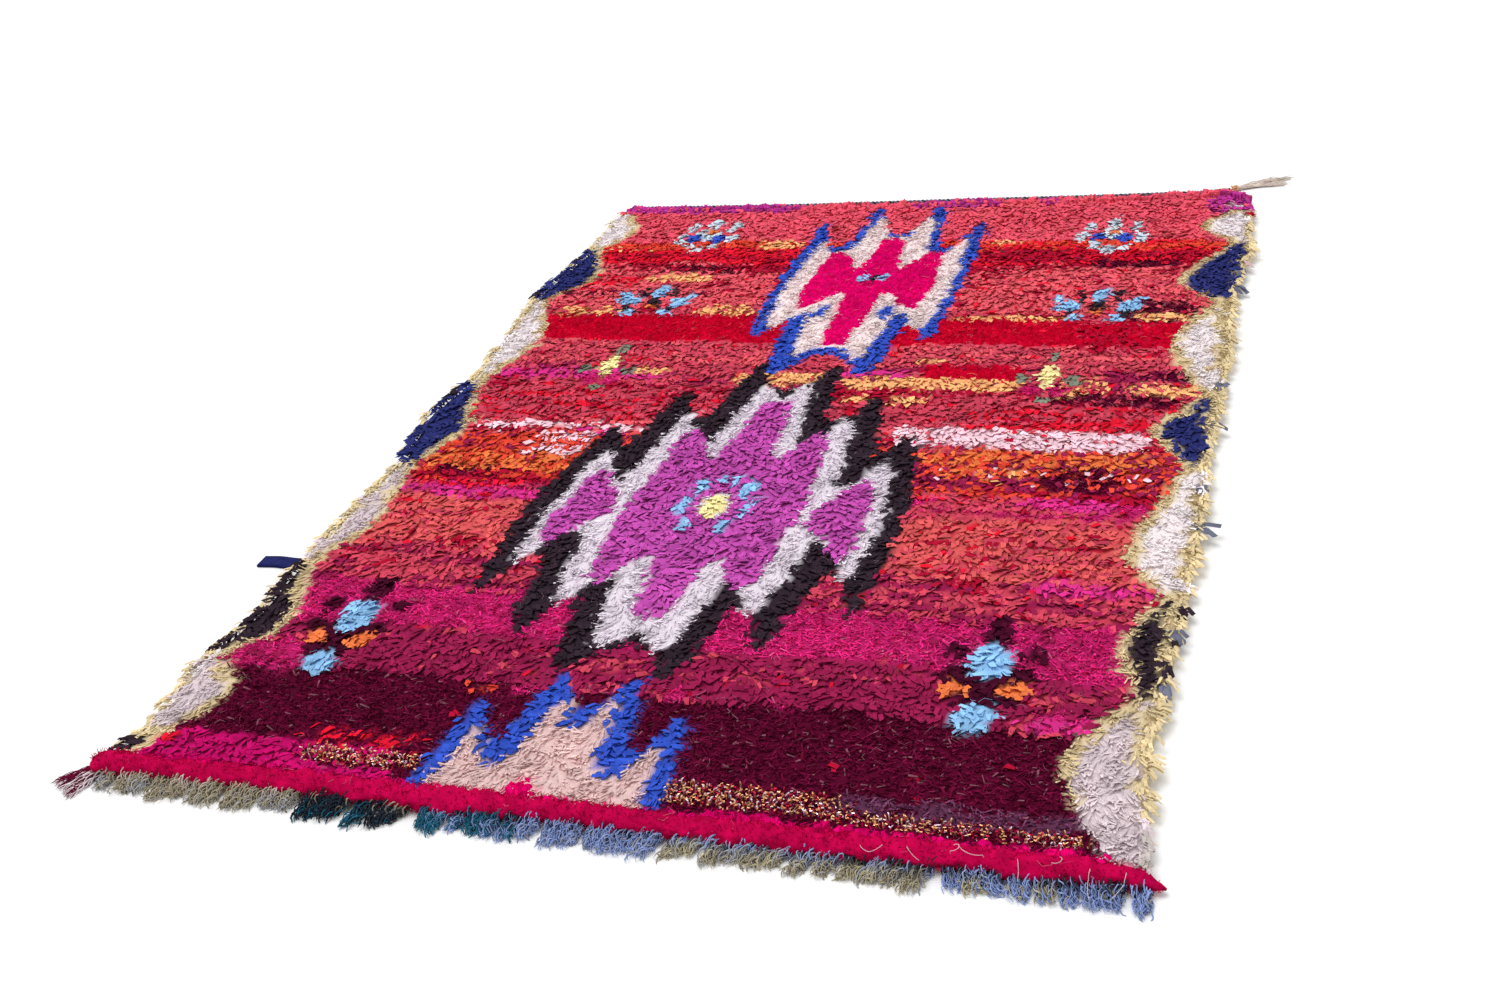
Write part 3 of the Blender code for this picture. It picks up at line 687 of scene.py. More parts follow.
def buildGround():
    rng = np.random.default_rng(41)
    x, y = groundGrid()
    high, wide = x.shape
    row, col = np.indices(x.shape)
    onPile = row <= ground["rows"]
    onRim = (col == 0) | (col == wide - 1) | (row == 0) | (row == ground["rows"])
    tops = ground["foot"] + lump(x, y) + ground["uneven"] * rng.uniform(-1, 1, x.shape)
    weave = ground["weave"] + ground["weaveRib"] * np.sin(x / ground["ribPitch"])
    top = np.where(onPile, np.where(onRim, ground["rimFoot"], tops), weave)
    upper = np.stack([x, y, top], -1).reshape(-1, 3)
    lower = np.stack([x, y, np.full_like(x, ground["under"])], -1).reshape(-1, 3)
    yarn = yarnAt(x.ravel(), y.ravel(), rng)
    yarn[yarn == yarnNumber["tinselGold"]] = yarnNumber["burgundy"]
    # Painted shade: the pile's foot is darker than its yarn, for the shade down between the tufts, and
    # darkest under the fine yarn
    dim = np.where(isOneOf(yarn, fineYarns), ground["shadeUnderFine"], ground["shadeUnderRag"])
    colours = yarnColours[yarn] * np.where(onPile.ravel(), dim, ground["dimWeave"])[:, None]
    back = yarnColours[yarn] * 0.35 + yarnColour("warpCream") * 0.5
    points, allColours = np.vstack([upper, lower]), np.vstack([colours, back])
    piece = addMesh("rug_ground", points, sheetFaces(high, wide), allColours)
    finishPiece(piece, wovenGround, "cotton_weave", "rug_pile")
    return piece


rugGround = buildGround()
print("ground woven")


# Pile: cut rag strips, fine crinkled yarn and fleece, knotted in rows. Each strip rises out of the ground
# and lies over the row before it. wander, swirl and roll are in radians: swirl turns whole clumps, wander
# each strip of them. lift is from the crest to the tip
pile = {
    "rag": {"pitch": (0.0064, 0.0132), "jitter": (0.45, 0.30), "root": 0.0150, "crest": (0.0210, 0.0238),
            "lift": (-0.0014, 0.0026), "reach": (0.0160, 0.0270), "wide": (0.0026, 0.0060),
            "thick": (0.0006, 0.0012), "wander": 0.36, "swirl": 1.5, "roll": 0.30, "skew": 0.9,
            "tone": 0.07, "sides": 3, "rings": 3},
    "shag": {"pitch": (0.0048, 0.0088), "jitter": (0.45, 0.40), "root": 0.0168, "crest": (0.0215, 0.0245),
             "lift": (-0.0016, 0.0026), "reach": (0.0140, 0.0260), "wide": (0.0011, 0.0024),
             "thick": (0.0006, 0.0010), "wander": 0.40, "swirl": 1.3, "roll": 0.40, "skew": 0.6,
             "tone": 0.05, "sides": 3, "rings": 2},
    "fine": {"pitch": (0.0044, 0.0058), "jitter": (0.45, 0.40), "root": 0.0175, "crest": (0.0214, 0.0250),
             "lift": (-0.0018, 0.0016), "reach": (0.0080, 0.0155), "wide": (0.0011, 0.0020),
             "thick": (0.0008, 0.0013), "wander": 1.30, "swirl": 0.0, "roll": 0.70, "skew": 0.4,
             "tone": 0.26, "sides": 3, "rings": 2},
    "fleece": {"pitch": (0.0078, 0.0078), "jitter": (0.28, 0.28), "root": 0.0150, "crest": (0.0182, 0.0206),
               "lift": (-0.0020, 0.0005), "reach": (0.0110, 0.0150), "wide": (0.0078, 0.0094),
               "thick": (0.0052, 0.0068), "wander": 1.80, "swirl": 0.0, "roll": 0.20, "skew": 0.0,
               "tone": 0.05, "sides": 4, "rings": 3},
}
ringShares = {2: (0.0, 1.0), 3: (0.0, 0.42, 1.0)}
rim = {"splay": 0.020, "inset": 0.009, "pitch": 0.0032, "farSplay": 0.026, "farReach": 0.6,
       "farSlope": 0.034, "farDrop": 0.006, "weaveRoot": 0.0022, "weaveDrop": 0.004, "clump": 0.015,
       "crestDrop": 0.004, "crestClump": 0.003, "tipDrop": 0.010, "shorter": 0.30, "clumpReach": 0.5}
# What all strips share: the part of the reach at which the yarn shows, and the widest strip of shag yarn
strip = {"shown": 0.55, "shagWide": 0.0028, "swirlWave": 0.020, "bend": 0.0026, "slateReach": 1.5,
         "floor": 0.0004}
# Stray bunches at the sides: place along the rug, half its length there, yarn
# The grey-beige bunch at the near right corner is greyer than the white border beside it
strays = {
    "right": ((0.160, 0.012, "slate"), (-0.330, 0.008, "slate"), (-0.745, 0.008, "slate"),
              (0.720, 0.006, "palePink"), (0.600, 0.006, "slate"), (0.995, 0.008, "crimson"),
              (-0.620, 0.014, "slate"), (0.020, 0.006, "slate"), (-0.200, 0.005, "slate"),
              (0.690, 0.005, "slate"), (-0.700, 0.014, "black"), (-0.560, 0.010, "black"),
              (-1.070, 0.034, "greyBeige")),
    "left": ((0.690, 0.010, "cream"), (0.735, 0.012, "black"), (0.530, 0.014, "black"),
             (0.040, 0.024, "black"), (-0.065, 0.030, "cream"), (-0.700, 0.020, "cream"),
             (-0.780, 0.012, "cream"), (-0.610, 0.012, "cream")),
}


# Roll of fleece over the near end, down to the fringe. Its right end runs out into a thin tail
fleeceRoll = {"y": -1.116, "z": 0.0130, "halfWide": 0.0200, "halfHigh": 0.0118, "farY": -1.104, "sides": 16,
              "step": 0.0042, "taper": 0.020, "tail": 0.046, "tailEnd": 0.009, "tailNear": 0.012,
              "tailDrop": 0.004, "wander": 0.0032, "wanderWave": 0.07, "floor": 0.0005}


def knotPlaces(pitch, rng, jitter=(0.42, 0.42)):
    rows = np.arange(outline["nearY"] + 0.4 * pitch[1], 1.15, pitch[1])
    columns = np.arange(-0.78, 0.80, pitch[0])
    x, y = np.meshgrid(columns, rows)
    x = x + (np.arange(len(rows)) % 2)[:, None] * pitch[0] / 2
    y = y + 0.4 * pitch[1] * softNoise(x, y, 0.06, 23)
    x = (x + rng.uniform(-jitter[0], jitter[0], x.shape) * pitch[0]).ravel()
    y = (y + rng.uniform(-jitter[1], jitter[1], y.shape) * pitch[1]).ravel()
    inside = ((x > sideX(y, "left") + rim["inset"]) & (x < sideX(y, "right") - rim["inset"])
              & (y < farY(x, "tuftY") - 0.003) & (y > outline["nearY"] + 0.002))
    return x[inside], y[inside]


def rimPlaces(rng):
    y = np.arange(outline["nearY"] + 0.004, 1.06, rim["pitch"])
    left = sideX(y, "left") + rim["inset"] + rng.uniform(-0.003, 0.003, len(y))
    right = sideX(y, "right") - rim["inset"] + rng.uniform(-0.003, 0.003, len(y))
    edgeX = np.arange(outline["farX"][0] + 0.01, outline["farX"][-1] - 0.01, rim["pitch"])
    edgeY = farY(edgeX, "tuftY") + rng.uniform(-0.003, 0.003, len(edgeX))
    return np.concatenate([left, right, edgeX]), np.concatenate([y, y, edgeY])


def addStrays(x, y, yarn):
    for side, bunches in strays.items():
        atSide = np.abs(x - sideX(y, side)) < 0.016
        for place, half, name in bunches:
            yarn[atSide & (np.abs(y - place) < half)] = yarnNumber[name]
    return yarn


# -1 at the left side, 1 at the right and 0 away from both
def sideSplay(x, y):
    leftRoom, rightRoom = x - sideX(y, "left"), sideX(y, "right") - x
    return np.clip(1 - rightRoom / rim["splay"], 0, 1) - np.clip(1 - leftRoom / rim["splay"], 0, 1)


def atFarEdge(x, y):
    return farY(x, "tuftY") - y < rim["farSplay"]


# Which way each strip leans, in radians from straight down the rug, and how far it reaches
def lie(style, x, y, rng):
    splay = sideSplay(x, y)
    swirl = style["swirl"] * softNoise(x, y, strip["swirlWave"], 21)
    lean = rng.normal(0, style["wander"], len(x)) + swirl
    lean = lean * (1 - np.abs(splay)) + splay * rng.uniform(0.2, 1.4, len(x))
    turned = atFarEdge(x, y)
    clump = softNoise(x, y, rim["clump"], 27)
    sideShare = 1 + np.abs(splay) * (rim["clumpReach"] * clump - rim["shorter"])
    reach = rng.uniform(*style["reach"], len(x)) * sideShare
    reach = reach * np.where(turned, rim["farReach"], 1.0)
    reach = np.minimum(reach, np.maximum(y - fleeceRoll["farY"], 0.003))
    return np.where(turned, math.pi + lean * 0.8, lean), reach


# The yarn of each strip, by where its lying part shows, so that the pattern keeps clear edges
def yarnSeen(x, y, lean, reach, rng):
    shown = strip["shown"] * reach
    turned = atFarEdge(x, y)
    drift = shown * np.cos(lean)
    drift = np.where(turned, 0.0, drift - np.mean(drift[~turned]))
    return yarnAt(x + shown * np.sin(lean), y - drift, rng)


def tuftRings(style, x, y, lean, reach, yarn, rng):
    count, shares = len(x), np.array(ringShares[style["rings"]])
    splay = sideSplay(x, y)
    farRoom = farY(x, "tuftY") - y
    clump = softNoise(x, y, rim["clump"], 27)
    heading, across = (directions[:, None] for directions in levelDirections(lean - math.pi / 2))
    reach = reach * np.where(yarn == yarnNumber["slate"], strip["slateReach"], 1.0)
    onWeave = y > farY(x, "pileY")
    root = np.where(onWeave, rim["weaveRoot"], style["root"])
    farDrop = rim["farDrop"] * np.clip(1 - farRoom / rim["farSlope"], 0, 1) * (1 - 0.9 * clump)
    sideDrop = (rim["crestDrop"] - rim["crestClump"] * clump) * np.abs(splay)
    crest = rng.uniform(*style["crest"], count) + lump(x, y) - sideDrop - farDrop - rim["weaveDrop"] * onWeave
    tipDrop = rim["tipDrop"] * np.abs(splay)
    tip = crest + rng.uniform(*style["lift"], count) - tipDrop * rng.uniform(0.3, 1.2, count)
    paths = rootPoints(x, y) + heading * (reach[:, None] * shares)[..., None]
    paths = paths + across * (rng.normal(0, strip["bend"], count)[:, None] * shares ** 1.8)[..., None]
    paths[:, :, 2] = np.stack([root, crest, tip] if len(shares) == 3 else [root, tip], 1)
    roll = rng.normal(0, style["roll"], (count, 1, 1)) * shares[None, :, None] ** 0.6
    turnedAcross = across * np.cos(roll) + np.array([0, 0, 1.0]) * np.sin(roll)
    plump = style["sides"] == 4
    ends = np.interp(shares, (0.0, 0.42, 1.0), (0.55, 1.0, 0.55) if plump else (0.8, 1.0, 0.85))
    wides = rng.uniform(*style["wide"], count)[:, None] * ends * rng.uniform(0.80, 1.15, (count, len(shares)))
    wides = np.where(isOneOf(yarn, shagYarns)[:, None], np.minimum(wides, strip["shagWide"]), wides)
    thicks = rng.uniform(*style["thick"], count)[:, None] * (ends if plump else 1 - 0.5 * shares ** 2)
    skew = rng.uniform(-style["skew"], style["skew"], (count, 1, 1)) * shares[None, :, None] ** 2.6
    return sweepMany(paths, wides, thicks, turnedAcross, style["sides"], skew, flatSideUp=not plump)


def tuftColours(style, x, y, yarn, rng):
    tone = 1 + rng.normal(0, style["tone"], len(x)) + 0.10 * softNoise(0.12 * x, y, 0.010, 22)
    patchy = 0.34 if style["tone"] > 0.15 else 0.20
    tone = tone + patchy * softNoise(x, y, 0.014, 24) + 0.08 * softNoise(x, y, 0.035, 28)
    colours = yarnColours[yarn] * tone.clip(0.5, 1.6)[:, None]
    if style["tone"] > 0.15:
        flecked = (rng.uniform(0, 1, len(x)) < 0.05)[:, None]
        colours = np.where(flecked, 0.85 * colours + 0.15 * yarnColour("palePink"), colours)
    # Painted shade: each tuft is darker at its root, down in the pile
    rings = colours[:, None] * np.interp(ringShares[style["rings"]], (0.0, 0.42), (0.85, 1.0))[None, :, None]
    return np.repeat(rings[:, :, None], style["sides"], axis=2).reshape(-1, 3).clip(0, 1)


def addTufts(name, styleName, material, slotName, knots, seed):
    rng = np.random.default_rng(seed)
    style = pile[styleName]
    x, y, lean, reach, yarn = knots
    points, faceSets = tuftRings(style, x, y, lean, reach, yarn, rng)
    points[:, 2] = np.maximum(points[:, 2], strip["floor"])
    piece = addMesh(name, points, faceSets, tuftColours(style, x, y, yarn, rng), crispAngle=50)
    finishPiece(piece, material, slotName)
    return piece


def buildRagTufts():
    rng = np.random.default_rng(7)
    x, y = knotPlaces(pile["rag"]["pitch"], rng, pile["rag"]["jitter"])
    rimX, rimY = rimPlaces(rng)
    x, y = np.concatenate([x, rimX]), np.concatenate([y, rimY])
    lean, reach = lie(pile["rag"], x, y, rng)
    yarn = addStrays(x, y, yarnSeen(x, y, lean, reach, rng))
    rag = ~isOneOf(yarn, ("tinselGold",) + fineYarns + fleeceYarns)
    inner = np.arange(len(x)) < len(x) - len(rimX)
    rag &= ~(inner & isOneOf(yarn, shagYarns))
    splits = np.quantile(y[rag], [0, 1 / 3, 2 / 3, 1])
    splits[-1] += 1
    made = []
    for k, word in enumerate(("near", "middle", "far")):
        part = rag & (y >= splits[k]) & (y < splits[k + 1])
        name = f"rag_tufts_{word}"
        knots = [values[part] for values in (x, y, lean, reach, yarn)]
        made.append(addTufts(name, "rag", ragCloth, "rag_pile", knots, 60 + k))
    return made


def buildSomeTufts(name, styleName, wanted, material, slotName, seed):
    rng = np.random.default_rng(seed)
    x, y = knotPlaces(pile[styleName]["pitch"], rng, pile[styleName]["jitter"])
    lean, reach = lie(pile[styleName], x, y, rng)
    yarn = yarnSeen(x, y, lean, reach, rng)
    yarn[yarn == yarnNumber["tinselGold"]] = yarnNumber["burgundy"]
    kept = isOneOf(yarn, wanted) & ((styleName != "fleece") | (y > fleeceRoll["farY"]))
    knots = [values[kept] for values in (x, y, lean, reach, yarn)]
    return addTufts(name, styleName, material, slotName, knots, seed + 50)


pilePieces = [
    *buildRagTufts(),
    buildSomeTufts("shag_tufts", "shag", shagYarns, ragCloth, "rag_pile", 15),
    buildSomeTufts("yarn_tufts", "fine", fineYarns, ragCloth, "rag_pile", 16),
    buildSomeTufts("fleece_pile", "fleece", fleeceYarns, fleecePlush, "plush_pile", 17),
]
print("pile knotted")


# The roll's middle line and its share of the full thickness at each x
def rollLine(x, start, end):
    tail = np.clip((end - x) / fleeceRoll["tail"], 0, 1)
    wander = fleeceRoll["wander"] * softNoise(x, 0 * x, fleeceRoll["wanderWave"], 55)
    middle = np.stack([x, fleeceRoll["y"] + wander - fleeceRoll["tailNear"] * (1 - tail),
                       fleeceRoll["z"] - fleeceRoll["tailDrop"] * (1 - tail)], 1)
    taper = np.sqrt(np.clip(1 - (1 - np.clip((x - start) / fleeceRoll["taper"], 0, 1)) ** 2, 0.03, 1))
    plump = 1 + 0.14 * softNoise(x, 0 * x, 0.045, 53) + 0.10 * softNoise(x, 0 * x, 0.11, 56)
    return middle, taper * (0.08 + 0.92 * tail ** 0.8) * plump


rollEnds = (outline["left"][0] + 0.002, outline["right"][0] + fleeceRoll["tailEnd"])


def buildFleeceRoll():
    rng = np.random.default_rng(10)
    start, end = rollEnds
    x = np.linspace(start, end, int((end - start) / fleeceRoll["step"]))
    middle, swell = rollLine(x, start, end)
    across = np.tile(np.array([0.0, 1.0, 0.0]), (1, len(x), 1))
    points, faceSets = sweepMany(middle[None], fleeceRoll["halfWide"] * swell[None],
                                 fleeceRoll["halfHigh"] * swell[None], across, fleeceRoll["sides"])
    rings = points.reshape(len(x), -1, 3)
    along, slant = rings[..., 0], rings[..., 1] + 1.3 * rings[..., 2]
    bumps = 0.20 * softNoise(along, slant, 0.012, 51) + 0.10 * softNoise(along, slant, 0.006, 52)
    bumps = bumps + 0.03 * rng.uniform(-1, 1, rings.shape[:2])
    rings = middle[:, None] + (rings - middle[:, None]) * (1 + bumps)[..., None]
    rings[..., 2] = np.maximum(rings[..., 2], fleeceRoll["floor"])
    # Painted shade: the roll darkens towards the floor, on its underside
    shade = np.interp(rings[..., 2], (0.002, 0.018), (0.35, 1.0))
    tone = shade * (1 + 0.30 * softNoise(rings[..., 0], slant, 0.010, 54))
    colours = yarnColour("rollPink") * tone[..., None]
    piece = addMesh("fleece_roll", rings.reshape(-1, 3), faceSets, colours.reshape(-1, 3).clip(0, 1))
    finishPiece(piece, fleecePlush, "plush_pile")
    return piece


# Fuzz that stands out of the fleece, and frayed threads that lie over the whole pile
threads = {
    "fuzz": {"count": 3400, "length": (0.006, 0.011), "half": 0.0006, "rings": 2, "bend": 0.0,
             "lift": 0.0035, "pitch": 0.0044, "top": 0.0248},
    "rollFuzz": {"count": 2600, "length": (0.004, 0.009), "half": 0.00055, "sink": 0.0015},
    "curls": {"count": 8, "from": 0.42, "to": 0.71, "length": (0.024, 0.044), "half": 0.00032, "rings": 22,
              "top": 0.031, "wind": 4.6},
    "fray": {"count": 3000, "length": (0.007, 0.020), "half": 0.00028, "rings": 3, "bend": 0.005,
             "lift": 0.0020, "pitch": 0.02, "top": 0.0262},
}


def threadPaths(look, x, y, top, rng):
    count, rings = len(x), look["rings"]
    turn = rng.uniform(0, math.tau, count)
    heading, across = (directions[:, None] for directions in levelDirections(turn))
    share = np.linspace(0, 1, rings)
    length = rng.uniform(*look["length"], count)
    bend = rng.normal(0, look["bend"], count)[:, None] * np.sin(np.pi * share)
    arch = look["lift"] * rng.uniform(0.3, 1.0, count)[:, None] * np.sin(np.pi * (0.25 + 0.6 * share))
    paths = rootPoints(x, y, top) + heading * (length[:, None] * (share - 0.3))[..., None]
    paths = paths + across * bend[..., None]
    paths[:, :, 2] += arch - 0.0018
    return paths, across * np.ones((1, rings, 1))


def addThreads(name, look, x, y, colours, material, slotName, rng):
    paths, across = threadPaths(look, x, y, look["top"] + lump(x, y), rng)
    half = np.full(paths.shape[:2], look["half"])
    points, faceSets = sweepMany(paths, half, half, across, 3)
    piece = addMesh(name, points, faceSets, np.repeat(colours, 3 * look["rings"], axis=0).clip(0, 1))
    finishPiece(piece, material, slotName)
    return piece


def buildFuzz():
    rng = np.random.default_rng(11)
    look = threads["fuzz"]
    x, y = knotPlaces((look["pitch"], look["pitch"]), rng)
    yarn = yarnAt(x, y, rng)
    fleece = np.flatnonzero(isOneOf(yarn, fleeceYarns) & (y > fleeceRoll["farY"]))
    picked = rng.permutation(fleece)[:look["count"]]
    x, y, yarn = x[picked], y[picked], yarn[picked]
    colours = yarnColours[yarn] * rng.uniform(0.85, 1.25, (len(x), 1))
    return addThreads("fleece_fuzz", look, x, y, colours, fleecePlush, "plush_pile", rng)


def buildRollFuzz():
    rng = np.random.default_rng(13)
    look = threads["rollFuzz"]
    count = look["count"]
    start, end = rollEnds
    x = rng.uniform(start + 0.004, end - 0.004, count)
    middle, swell = rollLine(x, start, end)
    angle = rng.uniform(0.1, 1.15, count) * math.pi
    outward = np.stack([np.zeros(count), np.cos(angle), np.sin(angle)], 1)
    size = np.array([0.0, fleeceRoll["halfWide"], fleeceRoll["halfHigh"]])
    spot = middle + size * outward * swell[:, None]
    heading = unit(0.5 * outward + 0.7 * rng.normal(0, 1, (count, 3)))
    heading = unit(heading + outward * np.maximum(0, 0.2 - np.sum(heading * outward, 1))[:, None])
    across = unit(np.cross(heading, rng.normal(0, 1, (count, 3))))
    length = rng.uniform(*look["length"], count)[:, None]
    length = length * np.clip(swell, 0.4, 1)[:, None]
    paths = np.stack([spot - outward * look["sink"] * swell[:, None], spot + heading * length], 1)
    half = np.full((count, 2), look["half"])
    points, faceSets = sweepMany(paths, half, half * 0.8, np.repeat(across[:, None], 2, axis=1), 3)
    points[:, 2] = np.maximum(points[:, 2], fleeceRoll["floor"])
    colours = yarnColour("rollPink") * rng.uniform(0.6, 1.3, (count, 1))
    piece = addMesh("roll_fuzz", points, faceSets, np.repeat(colours, 6, axis=0).clip(0, 1))
    finishPiece(piece, fleecePlush, "plush_pile")
    return piece


# Loose white threads that curl out of the roll near its right end
def buildRollCurls():
    rng = np.random.default_rng(14)
    look = threads["curls"]
    count, rings = look["count"], look["rings"]
    share = np.linspace(0, 1, rings)
    x = np.linspace(look["from"], look["to"], count) + rng.uniform(-0.014, 0.014, count)
    turn = rng.uniform(-2.6, -0.5, count)[:, None] + look["wind"] * rng.uniform(-1, 1, (count, 1)) * share
    pace = rng.uniform(*look["length"], count)[:, None] / (rings - 1)
    start = np.array([fleeceRoll["y"] - 0.2 * fleeceRoll["halfWide"], 0.020])
    paths = np.zeros((count, rings, 3))
    paths[:, :, 0] = x[:, None] + np.cumsum(np.cos(turn) * pace, axis=1)
    paths[:, :, 1] = start[0] + np.cumsum(np.sin(turn) * pace, axis=1)
    room = np.abs(paths[:, :, 1] - fleeceRoll["y"]) / fleeceRoll["halfWide"]
    skin = fleeceRoll["z"] + fleeceRoll["halfHigh"] * np.sqrt(np.clip(1 - room ** 2, 0, 1))
    bob = 0.0030 + 0.0045 * np.sin(math.pi * share) * rng.uniform(0.3, 1.0, (count, 1))
    paths[:, :, 2] = np.minimum(np.where(share < 0.08, start[1], skin + bob), look["top"])
    away = np.tile(np.array([0.3, 0.2, 1.0]), (count, rings, 1))
    half = np.full((count, rings), look["half"])
    points, faceSets = sweepMany(paths, half, half, unit(away), 4)
    colours = yarnColour("snow") * rng.uniform(0.85, 1.0, (len(points), 1))
    piece = addMesh("roll_curls", points, faceSets, colours)
    finishPiece(piece, crinkledYarn, "rag_pile")
    return piece


def buildFray():
    rng = np.random.default_rng(12)
    look = threads["fray"]
    x, y = knotPlaces((look["pitch"], look["pitch"]), rng)
    picked = rng.permutation(len(x))[:look["count"]]
    x, y = x[picked], y[picked]
    own = yarnColours[yarnAt(x, y, rng)]
    colours = own + (yarnColour("palePink") - own) * (0.45 * rng.uniform(0, 1, (len(x), 1)) ** 3)
    return addThreads("frayed_threads", look, x, y, colours, crinkledYarn, "rag_pile", rng)


pilePieces += [buildFleeceRoll(), buildFuzz(), buildRollFuzz(), buildRollCurls(), buildFray()]
print("fleece and frayed threads added")


# Tinsel: short glittering curls, much finer than the rags
tinselShape = {"pitch": 0.0036, "halfWide": 0.0012, "halfThick": 0.0005, "reach": 0.007, "top": 0.0284,
               "uneven": 0.005, "below": -1.02,
               "yarns": ("tinselGold", "tinselGold", "tinselGold", "crimson", "crimson", "palePink")}


def buildTinsel():
    rng = np.random.default_rng(71)
    x, y = knotPlaces((tinselShape["pitch"], tinselShape["pitch"]), rng)
    keep = (y < tinselShape["below"]) & (yarnAt(x, y, rng) == yarnNumber["tinselGold"])
    x, y = x[keep], y[keep]
    count = len(x)
    turn = rng.uniform(0, math.tau, count)
    heading, across = levelDirections(turn)
    across[:, 2] = rng.uniform(-0.8, 0.8, count)
    along = np.array([0.0, 0.5, 1.0])
    paths = rootPoints(x, y) + heading[:, None] * (tinselShape["reach"] * along)[:, None]
    top = tinselShape["top"] - rng.uniform(0, tinselShape["uneven"], count)
    paths[:, :, 2] = top[:, None] - 0.010 * (along - 0.75) ** 2 / 0.56
    wide = np.full((count, 3), tinselShape["halfWide"])
    thick = np.full((count, 3), tinselShape["halfThick"])
    points, faceSets = sweepMany(paths, wide, thick, unit(across)[:, None] * np.ones((1, 3, 1)), 3)
    # The pale pink curls and the wide spread of brightness are partly the tinsel's own mixed colours and
    # partly painted glints
    mix = np.array([yarnNumber[name] for name in tinselShape["yarns"]])
    colours = yarnColours[mix[rng.integers(0, len(mix), count)]] * rng.uniform(0.35, 1.5, (count, 1))
    piece = addMesh("tinsel_curls", points, faceSets, np.repeat(colours, 9, axis=0).clip(0, 1), smooth=False)
    finishPiece(piece, tinselThread, "tinsel")
    return piece


tinselPiece = buildTinsel()
print("tinsel added")


# Strands: crinkled yarn that lies on the floor in locks. bundle is how far each strand closes in across
# its lock on the way to its tip, and the lock's own wave
def strandPaths(rootX, rootY, rootZ, heading, reach, curl, steps, rng, fall=1.0, bundle=None):
    count = len(rootX)
    along = np.linspace(0, 1, steps)
    across = np.stack([-heading[:, 1], heading[:, 0], np.zeros(count)], 1)
    phase, pace = rng.uniform(0, math.tau, (count, 1)), rng.uniform(9.0, 17.0, (count, 1))
    size = curl * rng.uniform(0.4, 1.2, (count, 1))
    sway = size * np.sin(phase + pace * along) * along ** 0.4
    if bundle is not None:
        offset, wave = bundle
        sway = sway - offset[:, None] * along ** 1.2 + wave[:, None] * np.sin(2.6 * along)
    bob = size * np.cos(phase * 1.7 + pace * 0.9 * along)
    forward = reach[:, None] * along + size * 0.9 * np.cos(phase + pace * along)
    paths = rootPoints(rootX, rootY) + heading[:, None] * forward[..., None]
    paths = paths + across[:, None] * sway[..., None]
    height = rootZ[:, None] * (1 - fall * 0.62 * along ** 1.3) + bob
    paths[:, :, 2] = np.maximum(height, 0.0012)
    return paths, across


def addStrands(name, paths, across, radius, colours, slotName, *nodes):
    count, steps = paths.shape[:2]
    radii = radius[:, None] * np.concatenate([np.ones(steps - 1), [0.5]])
    points, faceSets = sweepMany(paths, radii, radii, across[:, None] * np.ones((1, steps, 1)), 3)
    points[:, 2] = np.maximum(points[:, 2], 0.0003)
    if colours.ndim == 2:
        colours = np.repeat(colours[:, None], steps, axis=1)
    piece = addMesh(name, points, faceSets, np.repeat(colours.reshape(-1, 3), 3, axis=0).clip(0, 1))
    finishPiece(piece, crinkledYarn, slotName, *nodes)
    return piece


# Each run's ends along the near edge, locks, reach, lean, its yarns at the root and those at the tips
# The dark ink at the roots of the teal, denim, olive and sky runs is painted shadow under the fleece roll; in
# the black run it is the yarn's own colour
fringe = {
    "strandsPerLock": 36,
    "radius": 0.00085,
    "curl": 0.0042,
    "wave": 0.0036,
    "gather": 0.36,
    "steps": 13,
    "top": 0.0225,
    "runs": (
        ("khaki", -0.694, -0.372, 11, 0.046, -0.006, ("khaki", "khaki", "beige"), ("khaki", "khaki", "ash")),
        ("black", -0.368, -0.202, 6, 0.054, -0.018, ("inkAndShadow", "inkAndShadow", "khaki"), ("inkAndShadow", "teal", "inkAndShadow")),
        ("teal", -0.198, -0.047, 6, 0.044, -0.006, ("denim", "teal", "inkAndShadow"),
         ("teal", "denim", "teal", "teal")),
        ("denim", -0.043, 0.155, 7, 0.046, -0.010, ("denim", "inkAndShadow", "denim"), ("denim", "denim", "ash")),
        ("olive", 0.159, 0.496, 12, 0.048, -0.020, ("denim", "inkAndShadow", "denim"), ("olive", "khaki", "ash")),
        ("sky", 0.500, 0.746, 9, 0.042, 0.004, ("inkAndShadow", "inkAndShadow", "denim"), ("denim", "denim", "olive", "denim")),
    ),
}


def mixedYarns(names, count, rng, lock=None):
    picks = rng.integers(0, len(names), count)
    if lock is not None:
        own = rng.integers(0, len(names), lock.max() + 1)[lock]
        picks = np.where(rng.uniform(0, 1, count) < 0.55, own, picks)
    base = yarnColours[[yarnNumber[name] for name in names]][picks]
    return base * rng.uniform(0.8, 1.35, (count, 1))


